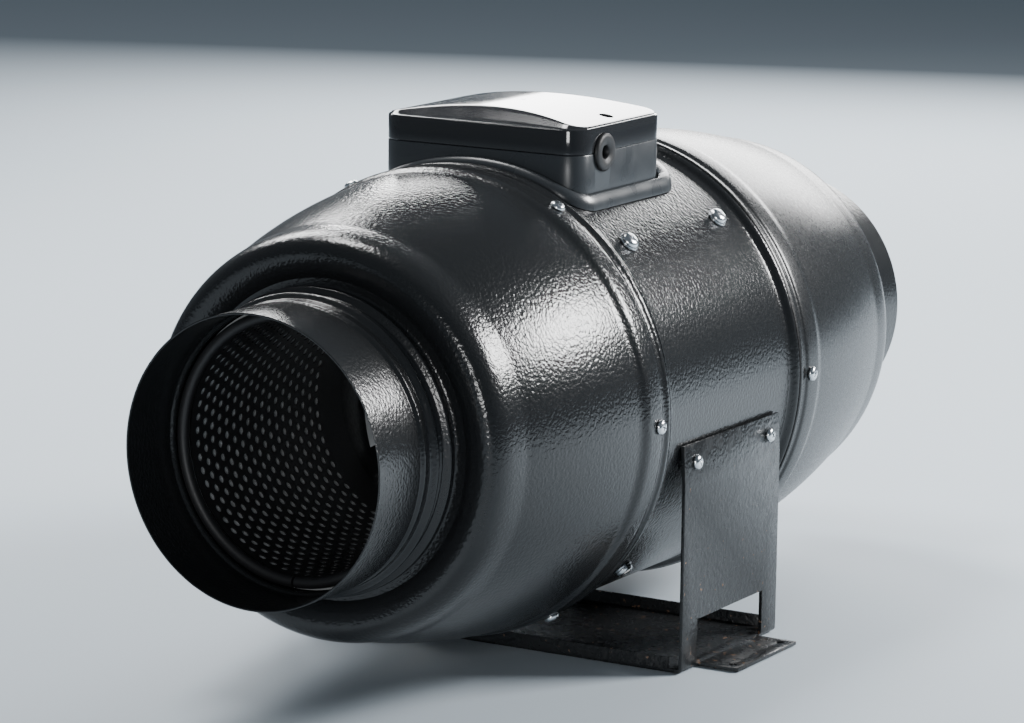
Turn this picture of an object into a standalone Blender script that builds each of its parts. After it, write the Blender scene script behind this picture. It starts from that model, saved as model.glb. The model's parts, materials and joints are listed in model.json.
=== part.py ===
"""Inline mixed-flow duct fan: two drawn covers on a middle casing, a lined air path,
an external-rotor fan inside, a terminal box on top and a folded bracket underneath.

Metres, +Z up, air flows along +Y from the inlet rim to the outlet rim. The origin is
on the underside of the bracket, below the middle of the fan.
"""

import math

import bmesh
import bpy
from mathutils import Matrix, Vector

# ---------------------------------------------------------------- driving sizes
SPIGOT_RADIUS = 0.0795          # outside of the duct spigot, for a 160 mm duct
CASING_RADIUS = 0.1288          # outside of the middle casing
BAND_RADIUS = CASING_RADIUS + 0.0046   # outside of the screw band on each cover
MIDDLE_LENGTH = 0.1603          # between the two cover bands
AXIS_HEIGHT = CASING_RADIUS + 0.0187   # air path's axis above the bracket's underside
INLET_SPIGOT_STRAIGHT = 0.038   # plain length of spigot that the duct slides over
OUTLET_SPIGOT_STRAIGHT = 0.050
INLET_DOME_LENGTH = 0.1448      # cover from its neck to the edge of its band
OUTLET_DOME_LENGTH = 0.1632
INLET_BULGE = 0.0045            # how far the cover's front swells past its neck
OUTLET_BULGE = 0.0075

SHEET = 0.0010                  # cover, casing and spigot steel
LINER_SHEET = 0.0008
GAP = 0.0003                    # left between pieces that touch
ROUND_STEPS = 32                # sides of the large turned pieces
SMALL_STEPS = 16                # sides of the small turned pieces

# ---------------------------------------------------------------- air path
BEAD_LENGTH = 0.032             # beaded part of the spigot between straight and neck
SPIGOT_TAIL = 0.008             # spigot inside the cover's neck
TAIL_RADIUS = SPIGOT_RADIUS + 0.0008
NECK_RADIUS = TAIL_RADIUS + GAP + SHEET
COLLAR_RADIUS = SPIGOT_RADIUS + 0.0048
GROOVE_DEPTH = 0.0008            # shallow groove where the plain length ends
BEAD_HEIGHT = 0.0025            # rolled bead that stops the duct
BAND_WIDTH = 0.0185
BULKHEAD_DEPTH = 0.017          # bulkhead plate behind the band's edge
SLEEVE_LENGTH = 0.032           # bulkhead sleeve inside the middle casing
BULKHEAD_SHEET = 0.0015
FLARE_LENGTH = 0.0063           # flared end of the middle casing
SEAM_GAP = 0.0012               # dark joint between casing and band
LINER_RADIUS = SPIGOT_RADIUS - 0.0080   # outside of the perforated liner
SEAL_RADIUS = 0.0044            # half the thickness of the rubber edging
SEAL_DEPTH = 0.043              # middle of the edging behind the rim
WOOL_START = 0.010              # wool widens this far behind the cover's neck

# ---------------------------------------------------------------- fan
HOUSING_WALL = 0.0025
HOUSING_THROAT = SPIGOT_RADIUS - 0.0055   # inner radius of the housing at both ends
HOUSING_BORE = HOUSING_THROAT + 0.0220   # inner radius around the impeller
HOUSING_FLANGE = HOUSING_THROAT + 0.0160
BLADES = 9
BLADE_SHEET = 0.0022
TIP_CLEARANCE = 0.0030
IMPELLER_START = -0.076         # along the air path, from the casing's middle
IMPELLER_LENGTH = 0.068
HUB_NOSE = 0.034
HUB_RADIUS = 0.056
HUB_WALL = 0.0025
VANES = 7
VANE_START = 0.004
VANE_LENGTH = 0.050
VANE_SHEET = 0.0025
CONE_LENGTH = 0.040
CONE_END = 0.016
SHAFT_RADIUS = 0.004
BEARING_RADIUS = 0.011
BEARING_WIDTH = 0.007
ROTOR_RADIUS = 0.040
ROTOR_WALL = 0.003
ROTOR_LENGTH = 0.030
STATOR_RADIUS = 0.0355

# ---------------------------------------------------------------- terminal box
BOX_X = 0.130
BOX_Y = MIDDLE_LENGTH - 0.0598
BOX_CORNER = 0.013
BOX_SHIFT = -0.0162             # box's middle from the casing's middle, along Y
BOX_WALL = 0.0025
PARTING_HEIGHT = CASING_RADIUS + 0.0110   # lid's lower edge above the axis
LID_EDGE = PARTING_HEIGHT + 0.0147        # ends of the lid's arch above the axis
LID_CROWN = LID_EDGE + 0.0078
LID_SLOPE = 0.0130              # length of the sloping front and back of the lid
LID_ROOF = 0.0030
SADDLE_X = BOX_X + 0.0090
SADDLE_Y = MIDDLE_LENGTH - 0.0373
SADDLE_SHIFT = -0.0115          # towards the inlet from the casing's middle
SADDLE_CORNER = 0.020
SADDLE_HEIGHT = 0.0065
SADDLE_JOINT = 0.0012           # dark joint round the box's foot
GROMMET_RADIUS = 0.0109
GROMMET_NECK = GROMMET_RADIUS - 0.0020
GROMMET_HOLE = 0.0035
GROMMET_SHIFT = 0.02805 - BOX_Y / 2    # from the box's middle, along Y
GROMMET_LIP = 0.0025
GROMMET_BEAD = 0.0018           # inside the box

# ---------------------------------------------------------------- bracket
BRACKET_WIDTH = MIDDLE_LENGTH - 0.0443   # along Y
BRACKET_SHEET = 0.0020
LEG_OUTSIDE = CASING_RADIUS + 0.0027     # outer face of a leg from the axis
LEG_TOP = -0.0175               # tab's upper edge, from the axis
LEG_BEND = -0.0400              # bend between leg and tab, from the axis
WINDOW_WIDTH = BRACKET_WIDTH - 0.036
WINDOW_HEIGHT = 0.026
EAR_LENGTH = 0.0245
EAR_WIDTH = WINDOW_WIDTH - 0.007
EAR_HOLE = 0.0025
EAR_HOLE_INSET = 0.007
LIP_HEIGHT = 0.0085
LIP_END = 0.007                 # lip stops this far from the leg

# ---------------------------------------------------------------- fasteners
COVER_SCREWS = {-1: 6, 1: 3}    # round the inlet band and round the outlet band
COVER_SCREW_HEAD = 0.0043
COVER_SCREW_SHANK = 0.0019
COVER_SCREW_INSET = 0.0128      # from the edge of the band
CASING_SCREW_HEAD = 0.0055
CASING_SCREW_SHANK = 0.0024
CASING_SCREW_INSET = 0.0272     # from the cover's edge, inside the casing
CASING_SCREW_ANGLE = math.radians(44)
LEG_SCREW_DROP = 0.0285         # below the axis
LEG_SCREW_SPACING = BRACKET_WIDTH - 0.027
LID_SCREW_HEAD = 0.0036
LID_SCREW_SHANK = 0.0016
LID_SCREW_X = 0.054
SCREW_CLEARANCE = 0.0005

# ---------------------------------------------------------------- derived places
INLET_LENGTH = INLET_SPIGOT_STRAIGHT + BEAD_LENGTH + INLET_DOME_LENGTH
OUTLET_LENGTH = OUTLET_SPIGOT_STRAIGHT + BEAD_LENGTH + OUTLET_DOME_LENGTH
LENGTH = INLET_LENGTH + MIDDLE_LENGTH + OUTLET_LENGTH
INLET_RIM = -LENGTH / 2
OUTLET_RIM = LENGTH / 2
MIDDLE = INLET_RIM + INLET_LENGTH + MIDDLE_LENGTH / 2
BOX_MIDDLE = MIDDLE + BOX_SHIFT
HOUSING_LENGTH = MIDDLE_LENGTH + 2 * (BULKHEAD_DEPTH - BULKHEAD_SHEET - GAP)


# ---------------------------------------------------------------- scene and materials
def clear_scene():
    for item in list(bpy.data.objects):
        bpy.data.objects.remove(item, do_unlink=True)


def new_collection(name):
    collection = bpy.data.collections.new(name)
    bpy.context.scene.collection.children.link(collection)
    return collection


def material(name, colour, roughness, metallic):
    made = bpy.data.materials.new(name)
    made.use_nodes = True
    shader = made.node_tree.nodes["Principled BSDF"]
    shader.inputs["Base Color"].default_value = (*colour, 1.0)
    shader.inputs["Roughness"].default_value = roughness
    shader.inputs["Metallic"].default_value = metallic
    made.diffuse_color = (*colour, 1.0)
    return made


clear_scene()
FAN = new_collection("inline_duct_fan")
CUTTERS = new_collection("cutters")
BLACK_STEEL = material("black_coated_steel", (0.018, 0.020, 0.021), 0.30, 0.0)
LINER_STEEL = material("black_liner_steel", (0.010, 0.010, 0.011), 0.45, 0.0)
BOX_PLASTIC = material("dark_box_plastic", (0.030, 0.034, 0.038), 0.35, 0.0)
LID_PLASTIC = material("glossy_lid_plastic", (0.022, 0.023, 0.025), 0.12, 0.0)
FAN_PLASTIC = material("grey_fan_plastic", (0.42, 0.45, 0.47), 0.45, 0.0)
RUBBER = material("black_rubber", (0.008, 0.008, 0.008), 0.55, 0.0)
WOOL = material("grey_wool", (0.50, 0.52, 0.53), 0.95, 0.0)
ZINC = material("zinc_plated_steel", (0.72, 0.73, 0.74), 0.22, 1.0)
MOTOR_STEEL = material("motor_steel", (0.35, 0.36, 0.38), 0.35, 1.0)
WHITE_PLASTIC = material("white_plastic", (0.75, 0.74, 0.70), 0.40, 0.0)


# ---------------------------------------------------------------- small tools
def place(mesh, name, collection, skin=None):
    item = bpy.data.objects.new(name, mesh)
    collection.objects.link(item)
    if skin is not None:
        mesh.materials.append(skin)
    if collection is CUTTERS:
        item.hide_render = True
        item.display_type = 'WIRE'
    return item


def bezier(start, handle, end, count):
    """Points after start on a quadratic curve, with end as the last."""
    points = []
    for step in range(1, count + 1):
        t = step / count
        a, b, c = (1 - t) ** 2, 2 * t * (1 - t), t ** 2
        points.append(tuple(a * s + b * h + c * e for s, h, e in zip(start, handle, end)))
    return points


def offset(path, distance):
    """The path moved towards the axis, each point along the mean normal of its sides."""
    moved = []
    for index, (radius, along) in enumerate(path):
        normal = Vector((0.0, 0.0))
        sides = []
        for first, second in ((index - 1, index), (index, index + 1)):
            if 0 <= first and second < len(path):
                side = Vector(path[second]) - Vector(path[first])
                sides.append(Vector((-side.y, side.x)).normalized())
        for side in sides:
            normal += side
        normal.normalize()
        reach = distance / max(normal.dot(sides[0]), 0.5)
        moved.append((radius + normal.x * reach, along + normal.y * reach))
    return moved


def sheet(path, wall):
    """Closed outline of a sheet whose outer face is the path."""
    return path + offset(path, wall)[::-1]


def turned(name, outline, skin, collection=None, steps=ROUND_STEPS, start=None):
    """Turns a closed outline of (radius, along the air path) about the fan's axis.

    An outline that starts and ends on the axis is left open there.
    """
    collection = collection or FAN
    along_axis = outline[0][0] == 0.0
    area = sum(a[0] * b[1] - b[0] * a[1] for a, b in zip(outline, outline[1:] + outline[:1]))
    if area > 0:
        outline = outline[::-1]
    mesh = bpy.data.meshes.new(name)
    count = len(outline)
    edges = [(index, (index + 1) % count) for index in range(count - along_axis)]
    mesh.from_pydata([(radius, 0.0, along) for radius, along in outline], edges, [])
    item = place(mesh, name, collection, skin)
    item.rotation_euler = (-math.pi / 2, 0.0, 0.0)
    item.location = start or (0.0, 0.0, AXIS_HEIGHT)
    screw = item.modifiers.new("turn", 'SCREW')
    screw.axis = 'Z'
    screw.steps = steps
    screw.render_steps = steps
    screw.use_merge_vertices = True
    screw.merge_threshold = 1e-6
    screw.use_smooth_shade = True
    screw.use_normal_calculate = False
    return item


def block(name, low, high, collection, skin=None):
    mesh = bpy.data.meshes.new(name)
    form = bmesh.new()
    bmesh.ops.create_cube(form, size=1.0)
    size = Vector(high) - Vector(low)
    bmesh.ops.scale(form, vec=size, verts=form.verts)
    bmesh.ops.translate(form, vec=(Vector(low) + Vector(high)) / 2, verts=form.verts)
    form.to_mesh(mesh)
    form.free()
    return place(mesh, name, collection, skin)


def prism(name, outline, low, high, collection, skin=None, axis='Z'):
    """A flat outline raised between two heights along an axis."""
    mesh = bpy.data.meshes.new(name)
    form = bmesh.new()
    if axis == 'Z':
        corners = [(a, b, low) for a, b in outline]
        lift = (0.0, 0.0, high - low)
    elif axis == 'Y':
        corners = [(a, low, b) for a, b in outline]
        lift = (0.0, high - low, 0.0)
    else:
        corners = [(low, a, b) for a, b in outline]
        lift = (high - low, 0.0, 0.0)
    face = form.faces.new([form.verts.new(corner) for corner in corners])
    raised = bmesh.ops.extrude_face_region(form, geom=[face])["geom"]
    moved = [part for part in raised if isinstance(part, bmesh.types.BMVert)]
    bmesh.ops.translate(form, vec=lift, verts=moved)
    bmesh.ops.recalc_face_normals(form, faces=form.faces)
    form.to_mesh(mesh)
    form.free()
    return place(mesh, name, collection, skin)


def rounded_rectangle(width, length, corner, middle_y, sides=4):
    outline = []
    for quarter in range(4):
        sign_x, sign_y = ((1, 1), (-1, 1), (-1, -1), (1, -1))[quarter]
        centre = (sign_x * (width / 2 - corner), middle_y + sign_y * (length / 2 - corner))
        for step in range(sides + 1):
            angle = math.pi / 2 * (quarter + step / sides)
            outline.append((centre[0] + corner * math.cos(angle),
                            centre[1] + corner * math.sin(angle)))
    return outline


def boolean(item, operand, operation='DIFFERENCE'):
    cut = item.modifiers.new(operation.lower(), 'BOOLEAN')
    cut.operation = operation
    cut.solver = 'EXACT'
    cut.object = operand
    return cut


def pins(name, places, radius, length, sides=6):
    """One cutter with a pin for each (point, direction), centred on the point."""
    mesh = bpy.data.meshes.new(name)
    form = bmesh.new()
    for point, direction in places:
        turn = Vector((0.0, 0.0, 1.0)).rotation_difference(Vector(direction)).to_matrix()
        matrix = Matrix.Translation(point) @ turn.to_4x4()
        bmesh.ops.create_cone(form, cap_ends=True, segments=sides, radius1=radius, radius2=radius,
                              depth=length, matrix=matrix)
    form.to_mesh(mesh)
    form.free()
    return place(mesh, name, CUTTERS)


def screw(name, point, direction, head, shank, length, washer=0.0):
    """A pan-head screw whose head sits on the point, its shank going the other way."""
    outline = [(0.0, -length), (shank, -length), (shank, 0.0)]
    if washer:
        outline += [(washer, 0.0), (washer, 0.0009), (head, 0.0009)]
    else:
        outline += [(head, 0.0)]
    base = 0.0009 if washer else 0.0
    outline += [(head, base + 0.30 * head), (0.7 * head, base + 0.65 * head),
                (0.0, base + 0.65 * head)]
    item = turned(name, outline, ZINC, steps=8)
    turn = Vector((0.0, 0.0, 1.0)).rotation_difference(Vector(direction))
    item.rotation_euler = turn.to_euler()
    item.location = point
    return item


def around(angle, radius, along):
    """A point and the outward direction at an angle from straight up, towards +X."""
    out = (math.sin(angle), 0.0, math.cos(angle))
    return (out[0] * radius, along, AXIS_HEIGHT + out[2] * radius), out


# ---------------------------------------------------------------- covers and air path
def spigot_path(straight):
    """Outer face of the spigot from its rim to the end of its tail."""
    neck = straight + BEAD_LENGTH
    path = [(SPIGOT_RADIUS, 0.0), (SPIGOT_RADIUS, straight),
            (SPIGOT_RADIUS - GROOVE_DEPTH, straight + 0.003), (SPIGOT_RADIUS, straight + 0.006)]
    path += [(SPIGOT_RADIUS, straight + 0.011), (SPIGOT_RADIUS + BEAD_HEIGHT, straight + 0.015),
             (TAIL_RADIUS, straight + 0.019), (TAIL_RADIUS, neck - 0.0095),
             (COLLAR_RADIUS, neck - 0.0070), (COLLAR_RADIUS, neck - 0.0035),
             (TAIL_RADIUS, neck - 0.0012), (TAIL_RADIUS, neck + SPIGOT_TAIL)]
    return path


def cover_path(dome, bulge):
    """Outer face of a cover from its neck, over the bulge, to the edge of its band."""
    rise = BAND_RADIUS - NECK_RADIUS
    foot = (NECK_RADIUS + 0.12 * rise, 0.0015)
    crest = (NECK_RADIUS + 0.37 * rise, -bulge)
    turn = (NECK_RADIUS + 0.60 * rise, 0.0090)
    shoulder = (NECK_RADIUS + 0.63 * rise, 0.0205)
    cone = (BAND_RADIUS - 0.0030, dome - BAND_WIDTH - 0.0150)
    path = [(NECK_RADIUS, 0.0), foot, crest]
    path += bezier(crest, (NECK_RADIUS + 0.56 * rise, -bulge), turn, 3) + [shoulder]
    path += bezier(shoulder, (NECK_RADIUS + 0.88 * rise, 0.45 * dome), cone, 3)
    path += [(BAND_RADIUS, dome - BAND_WIDTH - 0.0030), (BAND_RADIUS, dome)]
    return path


def shifted(path, side, start):
    """A path measured inwards from a rim, put on the inlet (-1) or outlet (+1) side."""
    return [(radius, side * (LENGTH / 2 - start - along)) for radius, along in path]


def mirrored_outline(outline, side):
    """Puts an outline measured from the middle casing's middle on one side."""
    return [(radius, MIDDLE + side * along) for radius, along in outline]


def build_end(side, word, straight, dome, bulge, screw_holes, casing_holes):
    neck = straight + BEAD_LENGTH
    turned(f"{word}_spigot", shifted(sheet(spigot_path(straight), SHEET), side, 0.0), BLACK_STEEL)
    cover = turned(f"{word}_cover", shifted(sheet(cover_path(dome, bulge), SHEET), side, neck),
                   BLACK_STEEL)
    boolean(cover, screw_holes)

    seal = [(LINER_RADIUS - LINER_SHEET / 2 + SEAL_RADIUS * math.cos(math.tau * step / 8),
             SEAL_DEPTH + SEAL_RADIUS * math.sin(math.tau * step / 8)) for step in range(8)]
    turned(f"{word}_edge_seal", shifted(seal, side, 0.0), RUBBER)

    plate = neck + dome - BULKHEAD_DEPTH
    liner = [(LINER_RADIUS, SEAL_DEPTH + SEAL_RADIUS + GAP), (LINER_RADIUS, plate - GAP)]
    turned(f"{word}_liner", shifted(sheet(liner, LINER_SHEET), side, 0.0), LINER_STEEL)

    inside = offset(cover_path(dome, bulge), SHEET + 2 * GAP)
    packed = [point for point in inside if WOOL_START < point[1] < dome - BULKHEAD_DEPTH - 0.003]
    sleeve = SPIGOT_RADIUS - GROOVE_DEPTH - SHEET - 2 * GAP
    start = SEAL_DEPTH + SEAL_RADIUS + GAP - neck
    wool = [(LINER_RADIUS + GAP, start), (sleeve, start), (sleeve, WOOL_START)] + packed
    wool += [(packed[-1][0], dome - BULKHEAD_DEPTH - GAP),
             (LINER_RADIUS + GAP, dome - BULKHEAD_DEPTH - GAP)]
    turned(f"{word}_wool", shifted(wool, side, neck), WOOL)

    half = MIDDLE_LENGTH / 2
    under_band = BAND_RADIUS - SHEET - GAP
    under_casing = CASING_RADIUS - SHEET - GAP
    ring = [(HOUSING_THROAT, half + BULKHEAD_DEPTH), (under_band, half + BULKHEAD_DEPTH),
            (under_band, half + 0.0020), (under_casing, half - FLARE_LENGTH),
            (under_casing, half - SLEEVE_LENGTH)]
    inner = [(radius - BULKHEAD_SHEET, along) for radius, along in ring[1:]]
    inner[0] = (inner[0][0], ring[0][1] - BULKHEAD_SHEET)
    outline = ring + inner[::-1] + [(HOUSING_THROAT, ring[0][1] - BULKHEAD_SHEET)]
    bulkhead = turned(f"{word}_bulkhead", mirrored_outline(outline, side), LINER_STEEL)
    boolean(bulkhead, screw_holes)
    boolean(bulkhead, casing_holes)


def band_screw_places(side):
    edge = MIDDLE + side * (MIDDLE_LENGTH / 2 + COVER_SCREW_INSET)
    count = COVER_SCREWS[side]
    return [around(math.tau * (0.25 + index / count), BAND_RADIUS, edge) for index in range(count)]


def casing_screw_places():
    places = []
    for side in (-1, 1):
        along = MIDDLE + side * (MIDDLE_LENGTH / 2 - CASING_SCREW_INSET)
        for turn in (1, 3, 5, 7):
            angle = CASING_SCREW_ANGLE if turn in (1, 5) else -CASING_SCREW_ANGLE
            base = 0.0 if turn in (1, 7) else math.pi
            places.append(around(base + angle, CASING_RADIUS, along))
    return places


def leg_screw_places():
    """Screws through the bracket's tabs, square to the tab's slope."""
    places = []
    slope = tab_slope()
    for side in (-1, 1):
        for end in (-1, 1):
            out = (side * math.cos(slope), 0.0, math.sin(slope))
            height = -LEG_SCREW_DROP
            reach = LEG_OUTSIDE - (height - LEG_BEND) * math.tan(slope)
            point = (side * reach, MIDDLE + end * LEG_SCREW_SPACING / 2, AXIS_HEIGHT + height)
            places.append((point, out))
    return places


def tab_slope():
    """Lean of the tab that keeps it just clear of the casing at its upper edge."""
    contact = math.sqrt((CASING_RADIUS + GAP) ** 2 - LEG_TOP ** 2)
    inner = LEG_OUTSIDE - BRACKET_SHEET
    return math.atan((inner - contact - 0.0004) / (LEG_TOP - LEG_BEND))


# ---------------------------------------------------------------- fan inside
def housing_radius(along):
    """Inner radius of the fan's housing at a distance from the casing's middle."""
    reach = HOUSING_LENGTH / 2
    t = min(abs(along) / reach, 1.0)
    ease = 0.5 - 0.5 * math.cos(math.pi * max(0.0, (t - 0.25) / 0.75))
    return HOUSING_BORE + (HOUSING_THROAT - HOUSING_BORE) * ease


def hub_radius(along):
    """Outer radius of the impeller's hub at a distance from the casing's middle."""
    t = (along - IMPELLER_START) / IMPELLER_LENGTH
    return HUB_NOSE + (HUB_RADIUS - HUB_NOSE) * math.sin(math.pi / 2 * min(max(t, 0.0), 1.0))


def bladed(name, count, start, length, root, tip, sweep, wall):
    """Blades round the axis; root and tip give the radius along the air path."""
    mesh = bpy.data.meshes.new(name)
    form = bmesh.new()
    rows, columns = 2, 4
    for index in range(count):
        grid = bmesh.ops.create_grid(form, x_segments=columns, y_segments=rows, size=1.0)["verts"]
        for vert in grid:
            t = (vert.co.x + 1) / 2
            s = (vert.co.y + 1) / 2
            along = start + length * t
            radius = root(along) * (1 - s) + tip(along) * s
            angle = math.tau * index / count + sweep * t * (1.0 - 0.35 * t)
            vert.co = Vector((radius * math.sin(angle), MIDDLE + along,
                              AXIS_HEIGHT + radius * math.cos(angle)))
    form.to_mesh(mesh)
    form.free()
    item = place(mesh, name, CUTTERS)
    thick = item.modifiers.new("thickness", 'SOLIDIFY')
    thick.thickness = wall
    thick.offset = 0.0
    return item


def build_housing():
    half = HOUSING_LENGTH / 2
    stations = [-half + HOUSING_LENGTH * step / 8 for step in range(9)]
    for side, word in ((-1, "inlet"), (1, "outlet")):
        chosen = [along for along in stations if side * along >= -1e-9]
        chosen.sort(key=lambda along: side * along)
        path = [(housing_radius(along), side * along) for along in chosen]
        path[0] = (path[0][0], GAP / 2)
        outer = [(radius + HOUSING_WALL, along) for radius, along in path]
        outer[-1] = (outer[-1][0], half - HOUSING_WALL)
        outline = path + [(HOUSING_FLANGE, half), (HOUSING_FLANGE, half - HOUSING_WALL)]
        outline += outer[::-1]
        shell = turned(f"{word}_fan_housing", mirrored_outline(outline, side), FAN_PLASTIC)
        if side == 1:
            add_guide_vanes(shell)


def add_guide_vanes(shell):
    hub = [(HUB_RADIUS, VANE_START), (HUB_RADIUS, VANE_START + VANE_LENGTH),
           (SHAFT_RADIUS + 0.010, VANE_START + VANE_LENGTH),
           (SHAFT_RADIUS + 0.010, VANE_START + VANE_LENGTH - HUB_WALL),
           (HUB_RADIUS - HUB_WALL, VANE_START + VANE_LENGTH - HUB_WALL),
           (HUB_RADIUS - HUB_WALL, VANE_START)]
    ring = turned("guide_hub_form", mirrored_outline(hub, 1), None, CUTTERS)
    vanes = bladed("guide_vane_forms", VANES, VANE_START + 0.004, VANE_LENGTH - 0.010,
                   lambda along: HUB_RADIUS - HUB_WALL / 2,
                   lambda along: housing_radius(along) + HOUSING_WALL / 2,
                   -0.35, VANE_SHEET)
    boolean(shell, vanes, 'UNION')
    boolean(shell, ring, 'UNION')


def build_impeller():
    """Hub, blades and, in the hub, the rotor can with its shaft and two bearings."""
    end = IMPELLER_START + IMPELLER_LENGTH
    stations = [IMPELLER_START + IMPELLER_LENGTH * step / 4 for step in range(5)]
    outer = [(hub_radius(along), along) for along in stations]
    seat = end - ROTOR_LENGTH - GAP
    hub = outer + [(ROTOR_RADIUS + GAP, end), (ROTOR_RADIUS + GAP, seat),
                   (SHAFT_RADIUS + GAP, seat), (SHAFT_RADIUS + GAP, IMPELLER_START)]
    centre = (0.0, MIDDLE + IMPELLER_START, AXIS_HEIGHT)
    moved = [(radius, along - IMPELLER_START) for radius, along in hub]
    impeller = turned("impeller", moved, FAN_PLASTIC, start=centre)
    blades = bladed("impeller_blade_forms", BLADES, IMPELLER_START + 0.003,
                    IMPELLER_LENGTH - 0.008, lambda along: hub_radius(along) - HUB_WALL / 2,
                    lambda along: housing_radius(along) - TIP_CLEARANCE, 0.85, BLADE_SHEET)
    boolean(impeller, blades, 'UNION')

    can = [(ROTOR_RADIUS, seat + GAP), (ROTOR_RADIUS, end),
           (ROTOR_RADIUS - ROTOR_WALL, end), (ROTOR_RADIUS - ROTOR_WALL, seat + GAP + ROTOR_WALL),
           (SHAFT_RADIUS + GAP, seat + GAP + ROTOR_WALL), (SHAFT_RADIUS + GAP, seat + GAP)]
    turned("motor_rotor", mirrored_outline(can, 1), MOTOR_STEEL, steps=SMALL_STEPS)

    tail = VANE_START + VANE_LENGTH + 0.004
    shaft = [(0.0, IMPELLER_START - 0.004), (SHAFT_RADIUS, IMPELLER_START - 0.004),
             (SHAFT_RADIUS, tail), (0.0, tail)]
    turned("motor_shaft", mirrored_outline(shaft, 1), MOTOR_STEEL, steps=SMALL_STEPS)

    tube = SHAFT_RADIUS + 0.009
    first = seat + GAP + ROTOR_WALL + 0.002
    second = VANE_START + VANE_LENGTH - HUB_WALL - BEARING_WIDTH
    for word, start in (("front", first), ("rear", second)):
        race = [(BEARING_RADIUS, start), (BEARING_RADIUS, start + BEARING_WIDTH),
                (SHAFT_RADIUS + GAP, start + BEARING_WIDTH), (SHAFT_RADIUS + GAP, start)]
        turned(f"{word}_bearing", mirrored_outline(race, 1), ZINC, steps=SMALL_STEPS)

    back = VANE_START + VANE_LENGTH - HUB_WALL - GAP
    core = [(BEARING_RADIUS + GAP, first), (tube + 0.006, first), (STATOR_RADIUS, first + 0.004),
            (STATOR_RADIUS, end + 0.004), (tube + 0.006, end + 0.006), (tube + 0.006, back - 0.004),
            (HUB_RADIUS - HUB_WALL - GAP, back - 0.004), (HUB_RADIUS - HUB_WALL - GAP, back),
            (BEARING_RADIUS + GAP, back)]
    turned("motor_stator", mirrored_outline(core, 1), MOTOR_STEEL, steps=SMALL_STEPS)

    rear = VANE_START + VANE_LENGTH + GAP
    cone = [(HUB_RADIUS, rear)]
    cone += bezier(cone[0], (HUB_RADIUS - 0.004, rear + 0.5 * CONE_LENGTH),
                   (CONE_END, rear + CONE_LENGTH), 3)
    cone += [(0.0, rear + CONE_LENGTH + 0.003), (0.0, rear + CONE_LENGTH)]
    inner = [(radius - HUB_WALL, along) for radius, along in cone[:-2]]
    inner[-1] = (CONE_END - HUB_WALL, rear + CONE_LENGTH - HUB_WALL)
    cone = [(0.0, rear + CONE_LENGTH + 0.003)] + cone[:-2][::-1] + inner
    cone.append((0.0, rear + CONE_LENGTH - HUB_WALL))
    turned("tail_cone", mirrored_outline(cone, 1), FAN_PLASTIC)


# ---------------------------------------------------------------- middle casing
def build_casing(casing_holes, leg_holes):
    half = MIDDLE_LENGTH / 2 - SEAM_GAP
    path = [(BAND_RADIUS - 0.0006, -half), (CASING_RADIUS, -half + FLARE_LENGTH),
            (CASING_RADIUS, half - FLARE_LENGTH), (BAND_RADIUS - 0.0006, half)]
    casing = turned("middle_casing", mirrored_outline(sheet(path, SHEET), 1), BLACK_STEEL)
    boolean(casing, casing_holes)
    boolean(casing, leg_holes)


# ---------------------------------------------------------------- terminal box
def cylinder_form(name, radius):
    reach = MIDDLE_LENGTH
    outline = [(0.0, -reach), (radius, -reach), (radius, reach), (0.0, reach)]
    return turned(name, mirrored_outline(outline, 1), None, CUTTERS)


def build_terminal_box():
    top = AXIS_HEIGHT + LID_CROWN
    parting = AXIS_HEIGHT + PARTING_HEIGHT
    under = cylinder_form("casing_form", CASING_RADIUS + GAP)
    base_outline = rounded_rectangle(BOX_X, BOX_Y, BOX_CORNER, BOX_MIDDLE)
    inner_outline = rounded_rectangle(BOX_X - 2 * BOX_WALL, BOX_Y - 2 * BOX_WALL,
                                      BOX_CORNER - BOX_WALL, BOX_MIDDLE)
    low = AXIS_HEIGHT + 0.6 * CASING_RADIUS

    entry = pins("cable_entry_form",
                 [((BOX_X / 2, BOX_MIDDLE + GROMMET_SHIFT, parting), (1.0, 0.0, 0.0))],
                 GROMMET_NECK + 2 * GAP, 0.012, sides=SMALL_STEPS)

    base = prism("terminal_box_base", base_outline, low, parting, FAN, BOX_PLASTIC)
    boolean(base, under)
    cavity = prism("box_cavity_form", inner_outline, low, top, CUTTERS)
    boolean(cavity, cylinder_form("box_floor_form", CASING_RADIUS + GAP + BOX_WALL))
    boolean(base, cavity)
    boolean(base, entry)

    lid = prism("terminal_box_lid", base_outline, parting + GAP, top + 0.001, FAN, LID_PLASTIC)
    boolean(lid, lid_form(), 'INTERSECT')
    hollow = prism("lid_hollow_form", inner_outline, parting - 0.001,
                   AXIS_HEIGHT + LID_EDGE - LID_ROOF, CUTTERS)
    boolean(lid, hollow)
    boolean(lid, entry)

    saddle_outline = rounded_rectangle(SADDLE_X, SADDLE_Y, SADDLE_CORNER, MIDDLE + SADDLE_SHIFT)
    pocket = prism("saddle_pocket_form",
                   rounded_rectangle(BOX_X + 2 * SADDLE_JOINT, BOX_Y + 2 * SADDLE_JOINT,
                                     BOX_CORNER + SADDLE_JOINT, BOX_MIDDLE),
                   low - 0.01, top, CUTTERS)
    saddle = prism("terminal_box_saddle", saddle_outline, low, parting, FAN, BOX_PLASTIC)
    boolean(saddle, cylinder_form("saddle_top_form", CASING_RADIUS + SADDLE_HEIGHT), 'INTERSECT')
    boolean(saddle, under)
    boolean(saddle, pocket)

    build_grommet(parting)
    build_box_contents()
    return lid


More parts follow.
